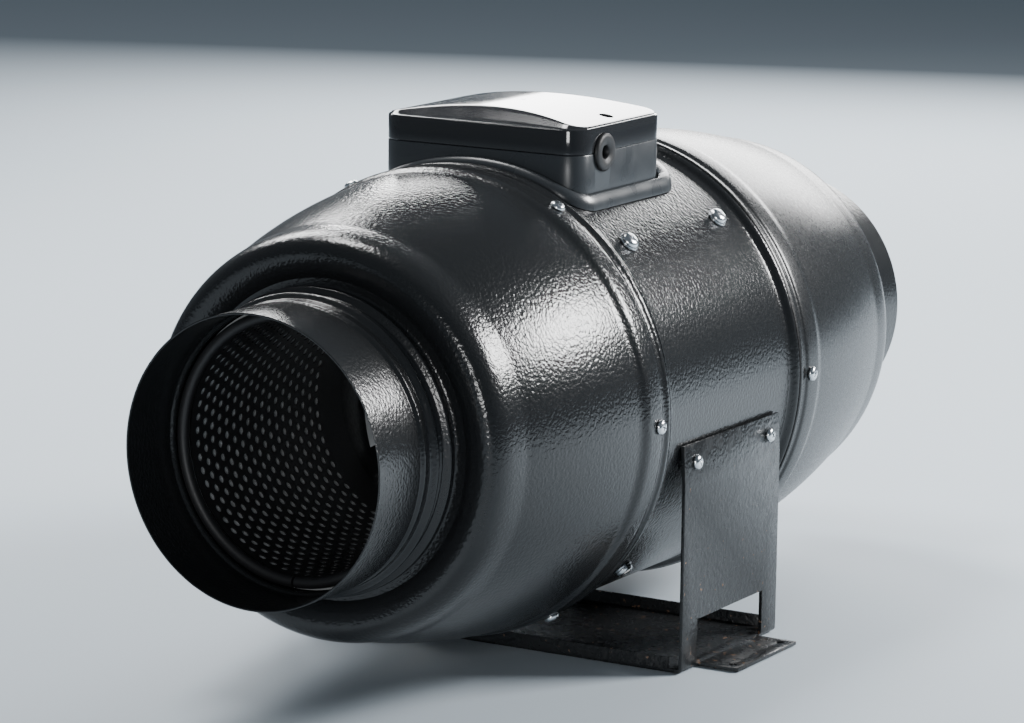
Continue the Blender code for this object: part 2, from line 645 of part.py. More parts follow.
def lid_form():
    """The lid's arched roof with its leaning front and back."""
    half_y = BOX_Y / 2
    edge = AXIS_HEIGHT + LID_EDGE
    crown = AXIS_HEIGHT + LID_CROWN
    low = AXIS_HEIGHT + 0.6 * CASING_RADIUS
    reach = BOX_X / 2 + 0.001
    arch = []
    for step in range(13):
        x = reach - 2 * reach * step / 12
        arch.append((x, crown - (crown - edge) * (x / reach) ** 2))
    arch += [(-reach, low), (reach, low)]
    roof = prism("lid_arch_form", arch, BOX_MIDDLE - half_y - 0.001, BOX_MIDDLE + half_y + 0.001,
                 CUTTERS, axis='Y')
    side = [(BOX_MIDDLE - half_y, low), (BOX_MIDDLE + half_y, low), (BOX_MIDDLE + half_y, edge),
            (BOX_MIDDLE + half_y - LID_SLOPE, crown + 0.0005),
            (BOX_MIDDLE - half_y + LID_SLOPE, crown + 0.0005), (BOX_MIDDLE - half_y, edge)]
    slopes = prism("lid_slope_form", side, -reach - 0.001, reach + 0.001, CUTTERS, axis='X')
    boolean(roof, slopes, 'INTERSECT')
    return roof


def build_grommet(parting):
    wall = BOX_WALL + 2 * GAP
    outline = [(GROMMET_HOLE, GROMMET_LIP), (GROMMET_RADIUS - 0.0012, GROMMET_LIP),
               (GROMMET_RADIUS, GROMMET_LIP * 0.5), (GROMMET_RADIUS, GAP), (GROMMET_NECK, GAP),
               (GROMMET_NECK, -wall), (GROMMET_RADIUS - 0.0010, -wall),
               (GROMMET_RADIUS - 0.0010, -wall - GROMMET_BEAD), (GROMMET_HOLE, -wall - GROMMET_BEAD)]
    grommet = turned("cable_grommet", outline, RUBBER, steps=SMALL_STEPS)
    grommet.rotation_euler = (0.0, math.pi / 2, 0.0)
    grommet.location = (BOX_X / 2, BOX_MIDDLE + GROMMET_SHIFT, parting)


def build_box_contents():
    floor = AXIS_HEIGHT + CASING_RADIUS + BOX_WALL + 2 * GAP
    block("terminal_block", (0.005, BOX_MIDDLE + 0.008, floor),
          (0.040, BOX_MIDDLE + 0.026, floor + 0.011), FAN, WHITE_PLASTIC)
    outline = [(0.0, -0.022), (0.0075, -0.022), (0.0080, 0.020), (0.0, 0.020)]
    capacitor = turned("run_capacitor", outline, WHITE_PLASTIC, steps=SMALL_STEPS)
    capacitor.rotation_euler = (0.0, math.pi / 2, 0.0)
    capacitor.location = (-0.020, BOX_MIDDLE - 0.018, floor + 0.0085)


# ---------------------------------------------------------------- bracket
def build_bracket(leg_holes):
    """A folded U of sheet with tabs against the casing, windows, ears and two lips."""
    slope = tab_slope()
    top = AXIS_HEIGHT + LEG_TOP
    bend = AXIS_HEIGHT + LEG_BEND
    tab = LEG_OUTSIDE - (top - bend) * math.tan(slope)
    half_outside = [(LEG_OUTSIDE, 0.0), (LEG_OUTSIDE, bend), (tab, top)]
    thick = BRACKET_SHEET / math.cos(slope)
    half_inside = [(tab - thick, top), (LEG_OUTSIDE - BRACKET_SHEET, bend),
                   (LEG_OUTSIDE - BRACKET_SHEET, BRACKET_SHEET)]
    right = half_outside + half_inside
    outline = right + [(-x, z) for x, z in reversed(right)]
    half = BRACKET_WIDTH / 2
    bracket = prism("mounting_bracket", outline, MIDDLE - half, MIDDLE + half, FAN, BLACK_STEEL,
                    axis='Y')
    window = block("leg_window_form", (-0.3, MIDDLE - WINDOW_WIDTH / 2, BRACKET_SHEET),
                   (0.3, MIDDLE + WINDOW_WIDTH / 2, BRACKET_SHEET + WINDOW_HEIGHT), CUTTERS)
    boolean(bracket, window)
    ear = block("ear_form", (-LEG_OUTSIDE - EAR_LENGTH, MIDDLE - EAR_WIDTH / 2, 0.0),
                (LEG_OUTSIDE + EAR_LENGTH, MIDDLE + EAR_WIDTH / 2, BRACKET_SHEET), CUTTERS)
    boolean(bracket, ear, 'UNION')
    reach = LEG_OUTSIDE - BRACKET_SHEET - LIP_END
    for side, word in ((-1, "front"), (1, "rear")):
        near, far = sorted((MIDDLE + side * half, MIDDLE + side * (half - BRACKET_SHEET)))
        lip = block(f"{word}_lip_form", (-reach, near, BRACKET_SHEET / 2), (reach, far, LIP_HEIGHT),
                    CUTTERS)
        boolean(bracket, lip, 'UNION')
    boolean(bracket, leg_holes)
    reach = LEG_OUTSIDE + EAR_LENGTH - EAR_HOLE_INSET
    spread = EAR_WIDTH / 2 - EAR_HOLE_INSET
    places = [((x * reach, MIDDLE + y * spread, 0.0), (0.0, 0.0, 1.0))
              for x in (-1, 1) for y in (-1, 1)]
    boolean(bracket, pins("ear_hole_forms", places, EAR_HOLE, 0.020))


# ---------------------------------------------------------------- assembly
def build_fasteners():
    """The screws, and the cutters for the holes that they pass through."""
    band = {side: band_screw_places(side) for side in (-1, 1)}
    casing = casing_screw_places()
    legs = leg_screw_places()
    deep = 0.012
    cutters = {
        "inlet": pins("inlet_screw_holes", band[-1], COVER_SCREW_SHANK + SCREW_CLEARANCE, deep),
        "outlet": pins("outlet_screw_holes", band[1], COVER_SCREW_SHANK + SCREW_CLEARANCE, deep),
        "casing": pins("casing_screw_holes", casing, CASING_SCREW_SHANK + SCREW_CLEARANCE, deep),
        "legs": pins("leg_screw_holes", legs, COVER_SCREW_SHANK + SCREW_CLEARANCE, 0.024),
    }
    for side, word in ((-1, "inlet"), (1, "outlet")):
        for index, (point, out) in enumerate(band[side], 1):
            lifted = Vector(point) + Vector(out) * GAP
            screw(f"{word}_cover_screw_{index}", lifted, out, COVER_SCREW_HEAD,
                  COVER_SCREW_SHANK, 0.005)
    for index, (point, out) in enumerate(casing, 1):
        lifted = Vector(point) + Vector(out) * GAP
        screw(f"casing_screw_{index}", lifted, out, CASING_SCREW_HEAD, CASING_SCREW_SHANK,
              0.006, washer=CASING_SCREW_HEAD + 0.0007)
    for index, (point, out) in enumerate(legs, 1):
        lifted = Vector(point) + Vector(out) * GAP
        screw(f"bracket_screw_{index}", lifted, out, COVER_SCREW_HEAD, COVER_SCREW_SHANK, 0.009)
    return cutters


def add_lid_screws(lid):
    """Countersunk wells in the roof, each with its screw on the well's floor."""
    well_floor = AXIS_HEIGHT + LID_EDGE - LID_ROOF / 2
    places = [((side * LID_SCREW_X, BOX_MIDDLE, well_floor), (0.0, 0.0, 1.0)) for side in (-1, 1)]
    raised = [((x, y, z + 0.020), out) for (x, y, z), out in places]
    boolean(lid, pins("lid_well_forms", raised, LID_SCREW_HEAD + 0.0006, 0.040))
    boolean(lid, pins("lid_screw_holes", places, LID_SCREW_SHANK + SCREW_CLEARANCE, 0.020))
    for index, (point, out) in enumerate(places, 1):
        screw(f"lid_screw_{index}", Vector(point) + Vector((0.0, 0.0, GAP)), out, LID_SCREW_HEAD,
              LID_SCREW_SHANK, 0.008)


holes = build_fasteners()
build_end(-1, "inlet", INLET_SPIGOT_STRAIGHT, INLET_DOME_LENGTH, INLET_BULGE,
          holes["inlet"], holes["casing"])
build_end(1, "outlet", OUTLET_SPIGOT_STRAIGHT, OUTLET_DOME_LENGTH, OUTLET_BULGE,
          holes["outlet"], holes["casing"])
build_casing(holes["casing"], holes["legs"])
build_housing()
build_impeller()
add_lid_screws(build_terminal_box())
build_bracket(holes["legs"])
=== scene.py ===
import json
import math

import bmesh
import bpy
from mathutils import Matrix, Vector


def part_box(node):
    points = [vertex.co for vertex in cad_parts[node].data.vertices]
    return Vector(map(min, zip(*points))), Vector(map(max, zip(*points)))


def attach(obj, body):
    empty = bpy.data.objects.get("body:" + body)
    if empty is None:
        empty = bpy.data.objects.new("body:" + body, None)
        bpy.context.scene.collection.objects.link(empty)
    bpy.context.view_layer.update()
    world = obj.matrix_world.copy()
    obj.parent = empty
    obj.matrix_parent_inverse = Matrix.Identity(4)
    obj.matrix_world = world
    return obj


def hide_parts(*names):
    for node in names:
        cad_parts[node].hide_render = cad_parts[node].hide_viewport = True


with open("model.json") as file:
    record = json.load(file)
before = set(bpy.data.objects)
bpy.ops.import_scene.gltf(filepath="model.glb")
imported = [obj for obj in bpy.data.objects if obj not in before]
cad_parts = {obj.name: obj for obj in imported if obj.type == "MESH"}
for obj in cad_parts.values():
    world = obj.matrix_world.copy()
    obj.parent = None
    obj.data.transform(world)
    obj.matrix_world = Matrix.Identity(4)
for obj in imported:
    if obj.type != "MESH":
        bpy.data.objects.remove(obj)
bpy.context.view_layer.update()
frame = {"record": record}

# ================================================================ duct spigots
# The two sockets that the ducting slides over: thin steel tube, black coated, with a
# rolled groove, a stop bead and a broad collar bead where the cover begins. Each is
# spun to shape and its tail is pressed inside the neck of the cover.
AXIS = (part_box("inlet_cover")[0][2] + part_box("inlet_cover")[1][2]) / 2
STEPS = 192
SHEET = 0.0010
SLOTS = {part["node"]: part["material_slot"] for part in frame["record"]["subparts"]}


def stand_in(item, *nodes, body="fan_body"):
    """The item replaces these nodes and rides on their body."""
    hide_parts(*nodes)
    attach(item, body)


def linked(name, data):
    """A new object in the scene."""
    item = bpy.data.objects.new(name, data)
    bpy.context.scene.collection.objects.link(item)
    return item


def made(form, name):
    """The working form as a mesh; the form itself is freed."""
    mesh = bpy.data.meshes.new(name)
    form.to_mesh(mesh)
    form.free()
    return mesh


def finish(mesh, name, skin, angle=35.0):
    """Smooth shading that breaks at real edges, then the object in the scene."""
    form = bmesh.new()
    form.from_mesh(mesh)
    bmesh.ops.recalc_face_normals(form, faces=form.faces)
    form.to_mesh(mesh)
    form.free()
    mesh.shade_smooth()
    mesh.set_sharp_from_angle(angle=math.radians(angle))
    if skin:
        mesh.materials.clear()
        mesh.materials.append(skin)
    return linked(name, mesh)


def lathe(name, outline, skin, steps=STEPS, start=0.0, stop=math.tau, angle=35.0):
    """Turns a closed outline of (radius, y) round the air path's axis."""
    form = bmesh.new()
    whole = abs(stop - start - math.tau) < 1e-6
    count = steps if whole else steps + 1
    rings = []
    for step in range(count):
        turn = start + (stop - start) * step / steps
        rings.append([form.verts.new((r * math.sin(turn), y, AXIS + r * math.cos(turn)))
                      for r, y in outline])
    for step in range(steps):
        here, there = rings[step], rings[(step + 1) % count]
        for index in range(len(outline)):
            after = (index + 1) % len(outline)
            form.faces.new((here[index], here[after], there[after], there[index]))
    if not whole:
        form.faces.new(rings[0])
        form.faces.new(rings[-1][::-1])
    bmesh.ops.remove_doubles(form, verts=form.verts, dist=1e-6)
    return finish(made(form, name), name, skin, angle)


def wall(path, thickness):
    """Gives an open path of (radius, y) a thickness towards the axis, with rounded ends."""
    inner = []
    side = math.copysign(thickness, path[-1][1] - path[0][1])
    for index, (radius, along) in enumerate(path):
        before = Vector(path[max(index - 1, 0)])
        after = Vector(path[min(index + 1, len(path) - 1)])
        run = (after - before).normalized()
        inner.append((radius - run.y * side, along + run.x * side))
    first = ((path[0][0] + inner[0][0]) / 2, path[0][1])
    last = ((path[-1][0] + inner[-1][0]) / 2, path[-1][1])
    return [first] + path[1:-1] + [last] + inner[1:-1][::-1]


def new_material(name, colour, roughness, metallic=0.0):
    skin = bpy.data.materials.new(name)
    skin.use_nodes = True
    shader = skin.node_tree.nodes["Principled BSDF"]
    shader.inputs["Base Color"].default_value = (*colour, 1.0)
    shader.inputs["Roughness"].default_value = roughness
    shader.inputs["Metallic"].default_value = metallic
    return skin, skin.node_tree.nodes, skin.node_tree.links, shader


def noise_on(nodes, links, scale, detail=2.0, vector=None):
    """Noise in object space; the vector may be stretched first."""
    if vector is None:
        vector = nodes.new("ShaderNodeTexCoord").outputs["Object"]
    grain = nodes.new("ShaderNodeTexNoise")
    grain.inputs["Scale"].default_value = scale
    grain.inputs["Detail"].default_value = detail
    links.new(vector, grain.inputs["Vector"])
    return grain.outputs["Fac"]


def bump_on(nodes, links, height, strength, distance, before=None):
    bump = nodes.new("ShaderNodeBump")
    bump.inputs["Strength"].default_value = strength
    bump.inputs["Distance"].default_value = distance
    links.new(height, bump.inputs["Height"])
    if before is not None:
        links.new(before, bump.inputs["Normal"])
    return bump.outputs["Normal"]


def spread(nodes, links, value, low, high):
    """Maps noise around one half to a range."""
    span = nodes.new("ShaderNodeMapRange")
    span.inputs["From Min"].default_value = 0.30
    span.inputs["From Max"].default_value = 0.70
    span.inputs["To Min"].default_value = low
    span.inputs["To Max"].default_value = high
    links.new(value, span.inputs["Value"])
    return span.outputs["Result"]


def coated_steel(name, texture, streak, rough):
    """Glossy black coat: a pebbled skin over faint turning marks round the axis."""
    skin, nodes, links, shader = new_material(name, (0.013, 0.014, 0.015), rough)
    pebbles = noise_on(nodes, links, 520.0, 1.5)
    where = nodes.new("ShaderNodeTexCoord").outputs["Object"]
    apart = nodes.new("ShaderNodeSeparateXYZ")
    links.new(where, apart.inputs["Vector"])
    across = nodes.new("ShaderNodeCombineXYZ")
    links.new(apart.outputs["Y"], across.inputs["Y"])
    marks = noise_on(nodes, links, 900.0, 3.0, across.outputs["Vector"])
    normal = bump_on(nodes, links, pebbles, texture, 0.0006)
    normal = bump_on(nodes, links, marks, streak, 0.0002, normal)
    links.new(normal, shader.inputs["Normal"])
    links.new(spread(nodes, links, pebbles, rough - 0.02, rough + 0.03), shader.inputs["Roughness"])
    return skin


def spigot_radius(depth, straight, rim):
    """Outer radius of the spigot at a depth behind its rim."""
    def bump(centre, half, height):
        t = abs(depth - centre) / half
        return height * (0.5 + 0.5 * math.cos(math.pi * t)) if t < 1.0 else 0.0
    neck = straight + 0.032
    radius = rim + 0.0008 * min(max((depth - straight - 0.014) / 0.004, 0.0), 1.0)
    radius += bump(straight + 0.004, 0.0030, -0.0016) + bump(straight + 0.0148, 0.0038, 0.0030)
    radius += bump(straight + 0.0205, 0.0022, -0.0010)
    flat = max(abs(depth - (neck - 0.0052)) - 0.0016, 0.0) / 0.0024
    return radius + (0.0040 * (0.5 + 0.5 * math.cos(math.pi * flat)) if flat < 1.0 else 0.0)


spigot_coat = coated_steel("spigot_black_coat", 0.38, 0.10, 0.22)
RIM = (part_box("inlet_spigot")[1][0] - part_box("inlet_spigot")[0][0]) / 2 - 0.0048
for word, side in (("inlet", -1), ("outlet", 1)):
    low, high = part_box(f"{word}_spigot")
    length = high[1] - low[1]
    rim_y = low[1] if side < 0 else high[1]
    depths = [0.0, 0.0002, 0.004, 0.012] + [0.0004 * n for n in range(50, int(length / 0.0004) + 1)]
    depths[-1] = length
    path = [(spigot_radius(depth, length - 0.040, RIM), rim_y - side * depth) for depth in depths]
    item = lathe(f"{word}_duct_spigot", wall(path, SHEET), spigot_coat)
    stand_in(item, f"{word}_spigot")

# ================================================================ covers
# Deep-drawn steel covers, pebbled black coat outside. Each rises steeply from its neck,
# turns over a rounded shoulder and widens to a flat band that slips over the casing.
pebbled_coat = coated_steel("pebbled_black_coat", 0.50, 0.16, 0.20)
satin_coat = coated_steel("satin_black_coat", 0.10, 0.30, 0.27)


def bezier(start, handle, end, count):
    points = []
    for step in range(1, count + 1):
        t = step / count
        points.append(tuple(a * (1 - t) ** 2 + 2 * b * t * (1 - t) + c * t * t
                            for a, b, c in zip(start, handle, end)))
    return points


BULGE = {"inlet": 0.0045, "outlet": 0.0075}
for word, side, skin in (("inlet", -1, pebbled_coat), ("outlet", 1, satin_coat)):
    low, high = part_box(f"{word}_cover")
    band = (high[0] - low[0]) / 2
    neck = RIM + 0.0021
    rise = band - neck
    bulge = BULGE[word]
    dome = high[1] - low[1] - bulge
    foot = (neck + 0.12 * rise, 0.0015)
    crest = (neck + 0.37 * rise, -bulge)
    turn = (neck + 0.60 * rise, 0.0090)
    shoulder = (neck + 0.63 * rise, 0.0205)
    cone = (band - 0.0030, dome - 0.0335)
    path = [(neck, 0.0)] + bezier((neck, 0.0), (neck + 0.0006, 0.0022), foot, 6)
    path += bezier(foot, (neck + 0.24 * rise, -bulge * 0.9), crest, 12)
    path += bezier(crest, (neck + 0.55 * rise, -bulge * 1.05), turn, 16)
    path += bezier(turn, (neck + 0.615 * rise, 0.0135), shoulder, 6)
    path += bezier(shoulder, (neck + 0.88 * rise, 0.45 * dome), cone, 30)
    rest = (band - 0.0015, dome - 0.0265)
    path += bezier(cone, (band - 0.0029, dome - 0.0290), rest, 6)
    path += bezier(rest, (band - 0.0001, dome - 0.0240), (band, dome - 0.0210), 6)
    path += [(band, dome - 0.0160), (band, dome - 0.0112)]
    groove = (band - 0.0012, dome - 0.0066)
    path += bezier((band, dome - 0.0112), (band - 0.0001, dome - 0.0094), (band - 0.0007, dome - 0.0086), 4)
    path += bezier((band - 0.0007, dome - 0.0086), (band - 0.0012, dome - 0.0078), groove, 4)
    path += bezier(groove, (band - 0.0012, dome - 0.0050), (band - 0.0006, dome - 0.0038), 4)
    path += bezier((band - 0.0006, dome - 0.0038), (band, dome - 0.0028), (band, dome - 0.0018), 4)
    path += bezier((band, dome - 0.0018), (band, dome - 0.0003), (band - 0.0005, dome), 4)
    neck_y = low[1] + bulge if side < 0 else high[1] - bulge
    placed = [(radius, neck_y - side * along) for radius, along in path]
    item = lathe(f"{word}_drawn_cover", wall(placed, SHEET), skin)
    stand_in(item, f"{word}_cover")

# ================================================================ middle casing
# A rolled steel ring in the same coat. Its two ends flare out to the covers' size, which
# leaves a narrow dark joint beside each band.
low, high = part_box("middle_casing")
flare = (high[0] - low[0]) / 2
CASING = flare - 0.0040
CASING_MIDDLE = (low[1] + high[1]) / 2
half = (high[1] - low[1]) / 2
path = [(flare - 0.0003, -half), (flare, -half + 0.0006)]
path += bezier((flare, -half + 0.0006), (flare - 0.0001, -half + 0.0022),
               (flare - 0.0020, -half + 0.0035), 6)
path += bezier((flare - 0.0020, -half + 0.0035), (CASING, -half + 0.0048), (CASING, -half + 0.0068), 6)
path += [(CASING, -half * n / 6) for n in (5, 4, 3, 2, 1, 0)]
path += [(radius, -along) for radius, along in path[-2::-1]]
placed = [(radius, CASING_MIDDLE + along) for radius, along in path]
casing_coat = coated_steel("casing_black_coat", 0.42, 0.10, 0.21)
stand_in(lathe("rolled_middle_casing", wall(placed, SHEET), casing_coat), "middle_casing")

# ================================================================ rubber edging
# Black rubber edging pressed over the raw edge of each perforated liner. It is one length
# of profile, so it has a small open joint at the bottom.


def textured(name, colour, rough, limits, grain, relief=None, metallic=0.0):
    """A material whose roughness runs between limits along one grain, its relief too if given."""
    skin, nodes, links, shader = new_material(name, colour, rough, metallic)
    height = noise_on(nodes, links, *grain)
    links.new(spread(nodes, links, height, *limits), shader.inputs["Roughness"])
    if relief:
        links.new(bump_on(nodes, links, height, *relief), shader.inputs["Normal"])
    return skin


rubber = textured("matt_black_rubber", (0.010, 0.010, 0.011), 0.50, (0.42, 0.58), (900.0, 3.0),
                  (0.25, 0.0002))
for word in ("inlet", "outlet"):
    low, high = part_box(f"{word}_edge_seal")
    thick = (high[1] - low[1]) / 2 - 0.0012
    ring = (high[0] - low[0]) / 2 - thick
    middle = (low[1] + high[1]) / 2
    outline = [(ring + thick * math.cos(math.tau * n / 20), middle + thick * math.sin(math.tau * n / 20))
               for n in range(20)]
    joint = 0.0007 / ring
    item = lathe(f"{word}_rubber_edging", outline, rubber, start=math.pi + joint,
                 stop=3 * math.pi - joint)
    stand_in(item, f"{word}_edge_seal")

# ================================================================ perforated liners
# The air path's lining: thin black sheet with staggered round holes, rolled into a tube,
# with a plain hem at the duct's end and a wider plain band at the fan's end.
LINER_SHEET = 0.0008
liner_black = textured("black_liner_sheet", (0.012, 0.012, 0.013), 0.36, (0.30, 0.44), (700.0, 2.0),
                       (0.15, 0.0002))


def new_tree(name, inputs):
    """A Geometry Nodes tree with named inputs; returns it with its ends."""
    tree = bpy.data.node_groups.new(name, 'GeometryNodeTree')
    tree.interface.new_socket("Geometry", in_out='INPUT', socket_type='NodeSocketGeometry')
    for label, kind in inputs:
        tree.interface.new_socket(label, in_out='INPUT', socket_type=kind)
    tree.interface.new_socket("Geometry", in_out='OUTPUT', socket_type='NodeSocketGeometry')
    return tree, tree.nodes.new("NodeGroupInput"), tree.nodes.new("NodeGroupOutput")


def chain(tree, *sockets):
    """Links each pair of sockets."""
    for source, target in zip(sockets[::2], sockets[1::2]):
        tree.links.new(source, target)


def frozen(item):
    """The object's mesh with its modifiers applied; the object itself is removed."""
    bpy.context.view_layer.update()
    ready = item.evaluated_get(bpy.context.evaluated_depsgraph_get())
    mesh = bpy.data.meshes.new_from_object(ready)
    bpy.data.objects.remove(item)
    return mesh


def baked(item, tree, values, angle=35.0):
    """Runs the tree on the object and keeps its result as a plain mesh."""
    live = item.modifiers.new(tree.name, 'NODES')
    live.node_group = tree
    for socket in tree.interface.items_tree:
        if socket.item_type == 'SOCKET' and socket.name in values:
            live[socket.identifier] = values[socket.name]
    name = item.name
    return finish(frozen(item), name, None, angle)


def points_object(name, points, directions=None):
    mesh = bpy.data.meshes.new(name)
    mesh.from_pydata(points, [], [])
    if directions:
        out = mesh.attributes.new("out", 'FLOAT_VECTOR', 'POINT')
        out.data.foreach_set("vector", [value for way in directions for value in way])
    return linked(name, mesh)


def rolled_sheet_tree():
    """Cells on flat points, merged into a sheet and rolled round the axis."""
    tree, start, end = new_tree("rolled_perforated_sheet", [
        ("Cell", 'NodeSocketObject'), ("Radius", 'NodeSocketFloat'), ("Axis", 'NodeSocketFloat'),
        ("Finish", 'NodeSocketMaterial')])
    new = tree.nodes.new
    cell, copies, real = new("GeometryNodeObjectInfo"), new("GeometryNodeInstanceOnPoints"), \
        new("GeometryNodeRealizeInstances")
    flat, seam = new("GeometryNodeMergeByDistance"), new("GeometryNodeMergeByDistance")
    flat.inputs["Distance"].default_value = seam.inputs["Distance"].default_value = 0.00002
    roll, paint, last = new("GeometryNodeSetPosition"), new("GeometryNodeSetMaterial"), \
        new("GeometryNodeRealizeInstances")
    where, apart, joined = new("GeometryNodeInputPosition"), new("ShaderNodeSeparateXYZ"), \
        new("ShaderNodeCombineXYZ")
    turn, reach, sine, cosine, across, up, lifted = [new("ShaderNodeMath") for _ in range(7)]
    for part, operation in ((turn, 'DIVIDE'), (reach, 'ADD'), (sine, 'SINE'), (cosine, 'COSINE'),
                            (across, 'MULTIPLY'), (up, 'MULTIPLY'), (lifted, 'ADD')):
        part.operation = operation
    chain(tree, start.outputs["Cell"], cell.inputs["Object"],
          start.outputs["Geometry"], copies.inputs["Points"],
          cell.outputs["Geometry"], copies.inputs["Instance"],
          copies.outputs[0], real.inputs[0], real.outputs[0], flat.inputs[0],
          flat.outputs[0], roll.inputs["Geometry"], roll.outputs[0], seam.inputs[0],
          where.outputs[0], apart.inputs[0],
          apart.outputs["X"], turn.inputs[0], start.outputs["Radius"], turn.inputs[1],
          apart.outputs["Z"], reach.inputs[0], start.outputs["Radius"], reach.inputs[1],
          turn.outputs[0], sine.inputs[0], turn.outputs[0], cosine.inputs[0],
          sine.outputs[0], across.inputs[0], reach.outputs[0], across.inputs[1],
          cosine.outputs[0], up.inputs[0], reach.outputs[0], up.inputs[1],
          up.outputs[0], lifted.inputs[0], start.outputs["Axis"], lifted.inputs[1],
          across.outputs[0], joined.inputs["X"], apart.outputs["Y"], joined.inputs["Y"],
          lifted.outputs[0], joined.inputs["Z"], joined.outputs[0], roll.inputs["Position"],
          seam.outputs[0], last.inputs[0], last.outputs[0], paint.inputs["Geometry"],
          start.outputs["Finish"], paint.inputs["Material"], paint.outputs[0], end.inputs[0])
    return tree


def hole_cell(pitch, row, hole):
    """One rectangle of sheet with a round hole, open at its four sides."""
    rim = [(hole * math.cos(math.tau * n / 12), hole * math.sin(math.tau * n / 12)) for n in range(12)]
    a, b = pitch / 2, row / 2
    edge = [(a, 0), (a, b), (a / 2, b), (0, b), (-a / 2, b), (-a, b), (-a, 0), (-a, -b),
            (-a / 2, -b), (0, -b), (a / 2, -b), (a, -b)]
    points = [(x, y, z) for z in (0.0, -LINER_SHEET) for ring in (edge, rim) for x, y in ring]
    faces = []
    for n in range(12):
        m = (n + 1) % 12
        faces += [(n, m, 12 + m, 12 + n), (24 + m, 24 + n, 36 + n, 36 + m),
                  (12 + n, 12 + m, 36 + m, 36 + n)]
    mesh = bpy.data.meshes.new("hole_cell")
    mesh.from_pydata(points, [], faces)
    return linked("hole_cell", mesh)


sheet_tree = rolled_sheet_tree()
AROUND = 60
HOLE_RADIUS = 0.0022
ROW_PITCH = 0.0068
HEM = 0.0035
FAN_BAND = 0.0215
for word, side in (("inlet", -1), ("outlet", 1)):
    low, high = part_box(f"{word}_liner")
    radius = (high[0] - low[0]) / 2
    pitch = math.tau * radius / AROUND
    front, rear = (HEM, FAN_BAND) if side < 0 else (FAN_BAND, HEM)
    start, stop = low[1] + front, high[1] - rear
    rows = round((stop - start) / ROW_PITCH)
    row = (stop - start) / rows
    places = [((n + 0.5 * (m % 2)) * pitch, start + (m + 0.5) * row, 0.0)
              for m in range(rows) for n in range(AROUND)]
    cell = hole_cell(pitch, row, HOLE_RADIUS)
    sheet = baked(points_object(f"{word}_perforated_liner", places), sheet_tree,
                  {"Cell": cell, "Radius": radius, "Axis": AXIS, "Finish": liner_black})
    bpy.data.objects.remove(cell)
    stand_in(sheet, f"{word}_liner")
    for label, a, b in (("front", low[1], start), ("rear", stop, high[1])):
        outline = [(radius, a), (radius, b), (radius - LINER_SHEET, b), (radius - LINER_SHEET, a)]
        stand_in(lathe(f"{word}_liner_{label}_hem", outline, liner_black), f"{word}_liner")

# ================================================================ sound-absorbing wool
# Pale grey fleece packed between each cover and its liner; it shows through the holes.
# The lathe outline follows the hollow and stays clear of the sheet round it.
wool, nodes, links, shader = new_material("grey_wool_fleece", (0.42, 0.44, 0.45), 0.95)
fibres = noise_on(nodes, links, 1500.0, 6.0)
patches = noise_on(nodes, links, 90.0, 2.0)
tint = nodes.new("ShaderNodeMix")
tint.data_type = 'RGBA'
tint.inputs["A"].default_value = (0.30, 0.32, 0.33, 1.0)
tint.inputs["B"].default_value = (0.58, 0.60, 0.61, 1.0)
links.new(patches, tint.inputs["Factor"])
links.new(tint.outputs["Result"], shader.inputs["Base Color"])
links.new(bump_on(nodes, links, fibres, 0.9, 0.0010), shader.inputs["Normal"])
for word, side in (("inlet", -1), ("outlet", 1)):
    low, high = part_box(f"{word}_wool")
    liner = (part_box(f"{word}_liner")[1][0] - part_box(f"{word}_liner")[0][0]) / 2
    outer = (high[0] - low[0]) / 2
    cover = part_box(f"{word}_cover")
    neck_y = cover[0][1] + BULGE[word] if side < 0 else cover[1][1] - BULGE[word]
    end_y = high[1] if side < 0 else low[1]
    rim_y = low[1] if side < 0 else high[1]
    outline = [(liner + 0.0003, rim_y), (RIM - 0.0024, rim_y), (RIM - 0.0024, neck_y - side * 0.012),
               (outer - 0.024, neck_y - side * 0.020), (outer - 0.020, neck_y - side * 0.032),
               (outer - 0.004, end_y + side * 0.030), (outer - 0.004, end_y), (liner + 0.0003, end_y)]
    stand_in(lathe(f"{word}_fleece", outline, wool, steps=96), f"{word}_wool")

# ================================================================ bulkheads
# Pressed steel rings inside the bands. They close the wool off and carry the fan between
# them; only a sliver of each shows in the dark joints beside the casing. Their near-black
# colour is painted shade, standing in for the shade deep inside the casing.
# Near-black sheet: painted shade for the unlit inside of the casing.
painted_shade_sheet = textured("dark_pressed_sheet", (0.008, 0.008, 0.009), 0.45, (0.40, 0.52), (200.0,))


def repaint(node, skin):
    """Gives a carried-over node one material in every slot."""
    for place in bpy.data.objects[node].material_slots:
        place.material = skin


for word in ("inlet", "outlet"):
    repaint(f"{word}_bulkhead", painted_shade_sheet)

# ================================================================ fan housing
# The moulded throat that the impeller turns in, in two halves, near black as painted shade
# where little light reaches. The outlet half carries seven guide vanes and the tube that holds the motor.
grey_plastic = textured("pale_grey_fan_plastic", (0.46, 0.49, 0.51), 0.42, (0.36, 0.50), (400.0, 2.0),
                        (0.06, 0.0003))
HOUSING_HALF = (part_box("outlet_fan_housing")[1][1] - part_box("inlet_fan_housing")[0][1]) / 2
THROAT = RIM - 0.0055
BORE = THROAT + 0.0220


def bore_radius(along):
    """Inner radius of the housing at a distance from its middle."""
    t = min(abs(along) / HOUSING_HALF, 1.0)
    return BORE + (THROAT - BORE) * (0.5 - 0.5 * math.cos(math.pi * max(0.0, (t - 0.25) / 0.75)))
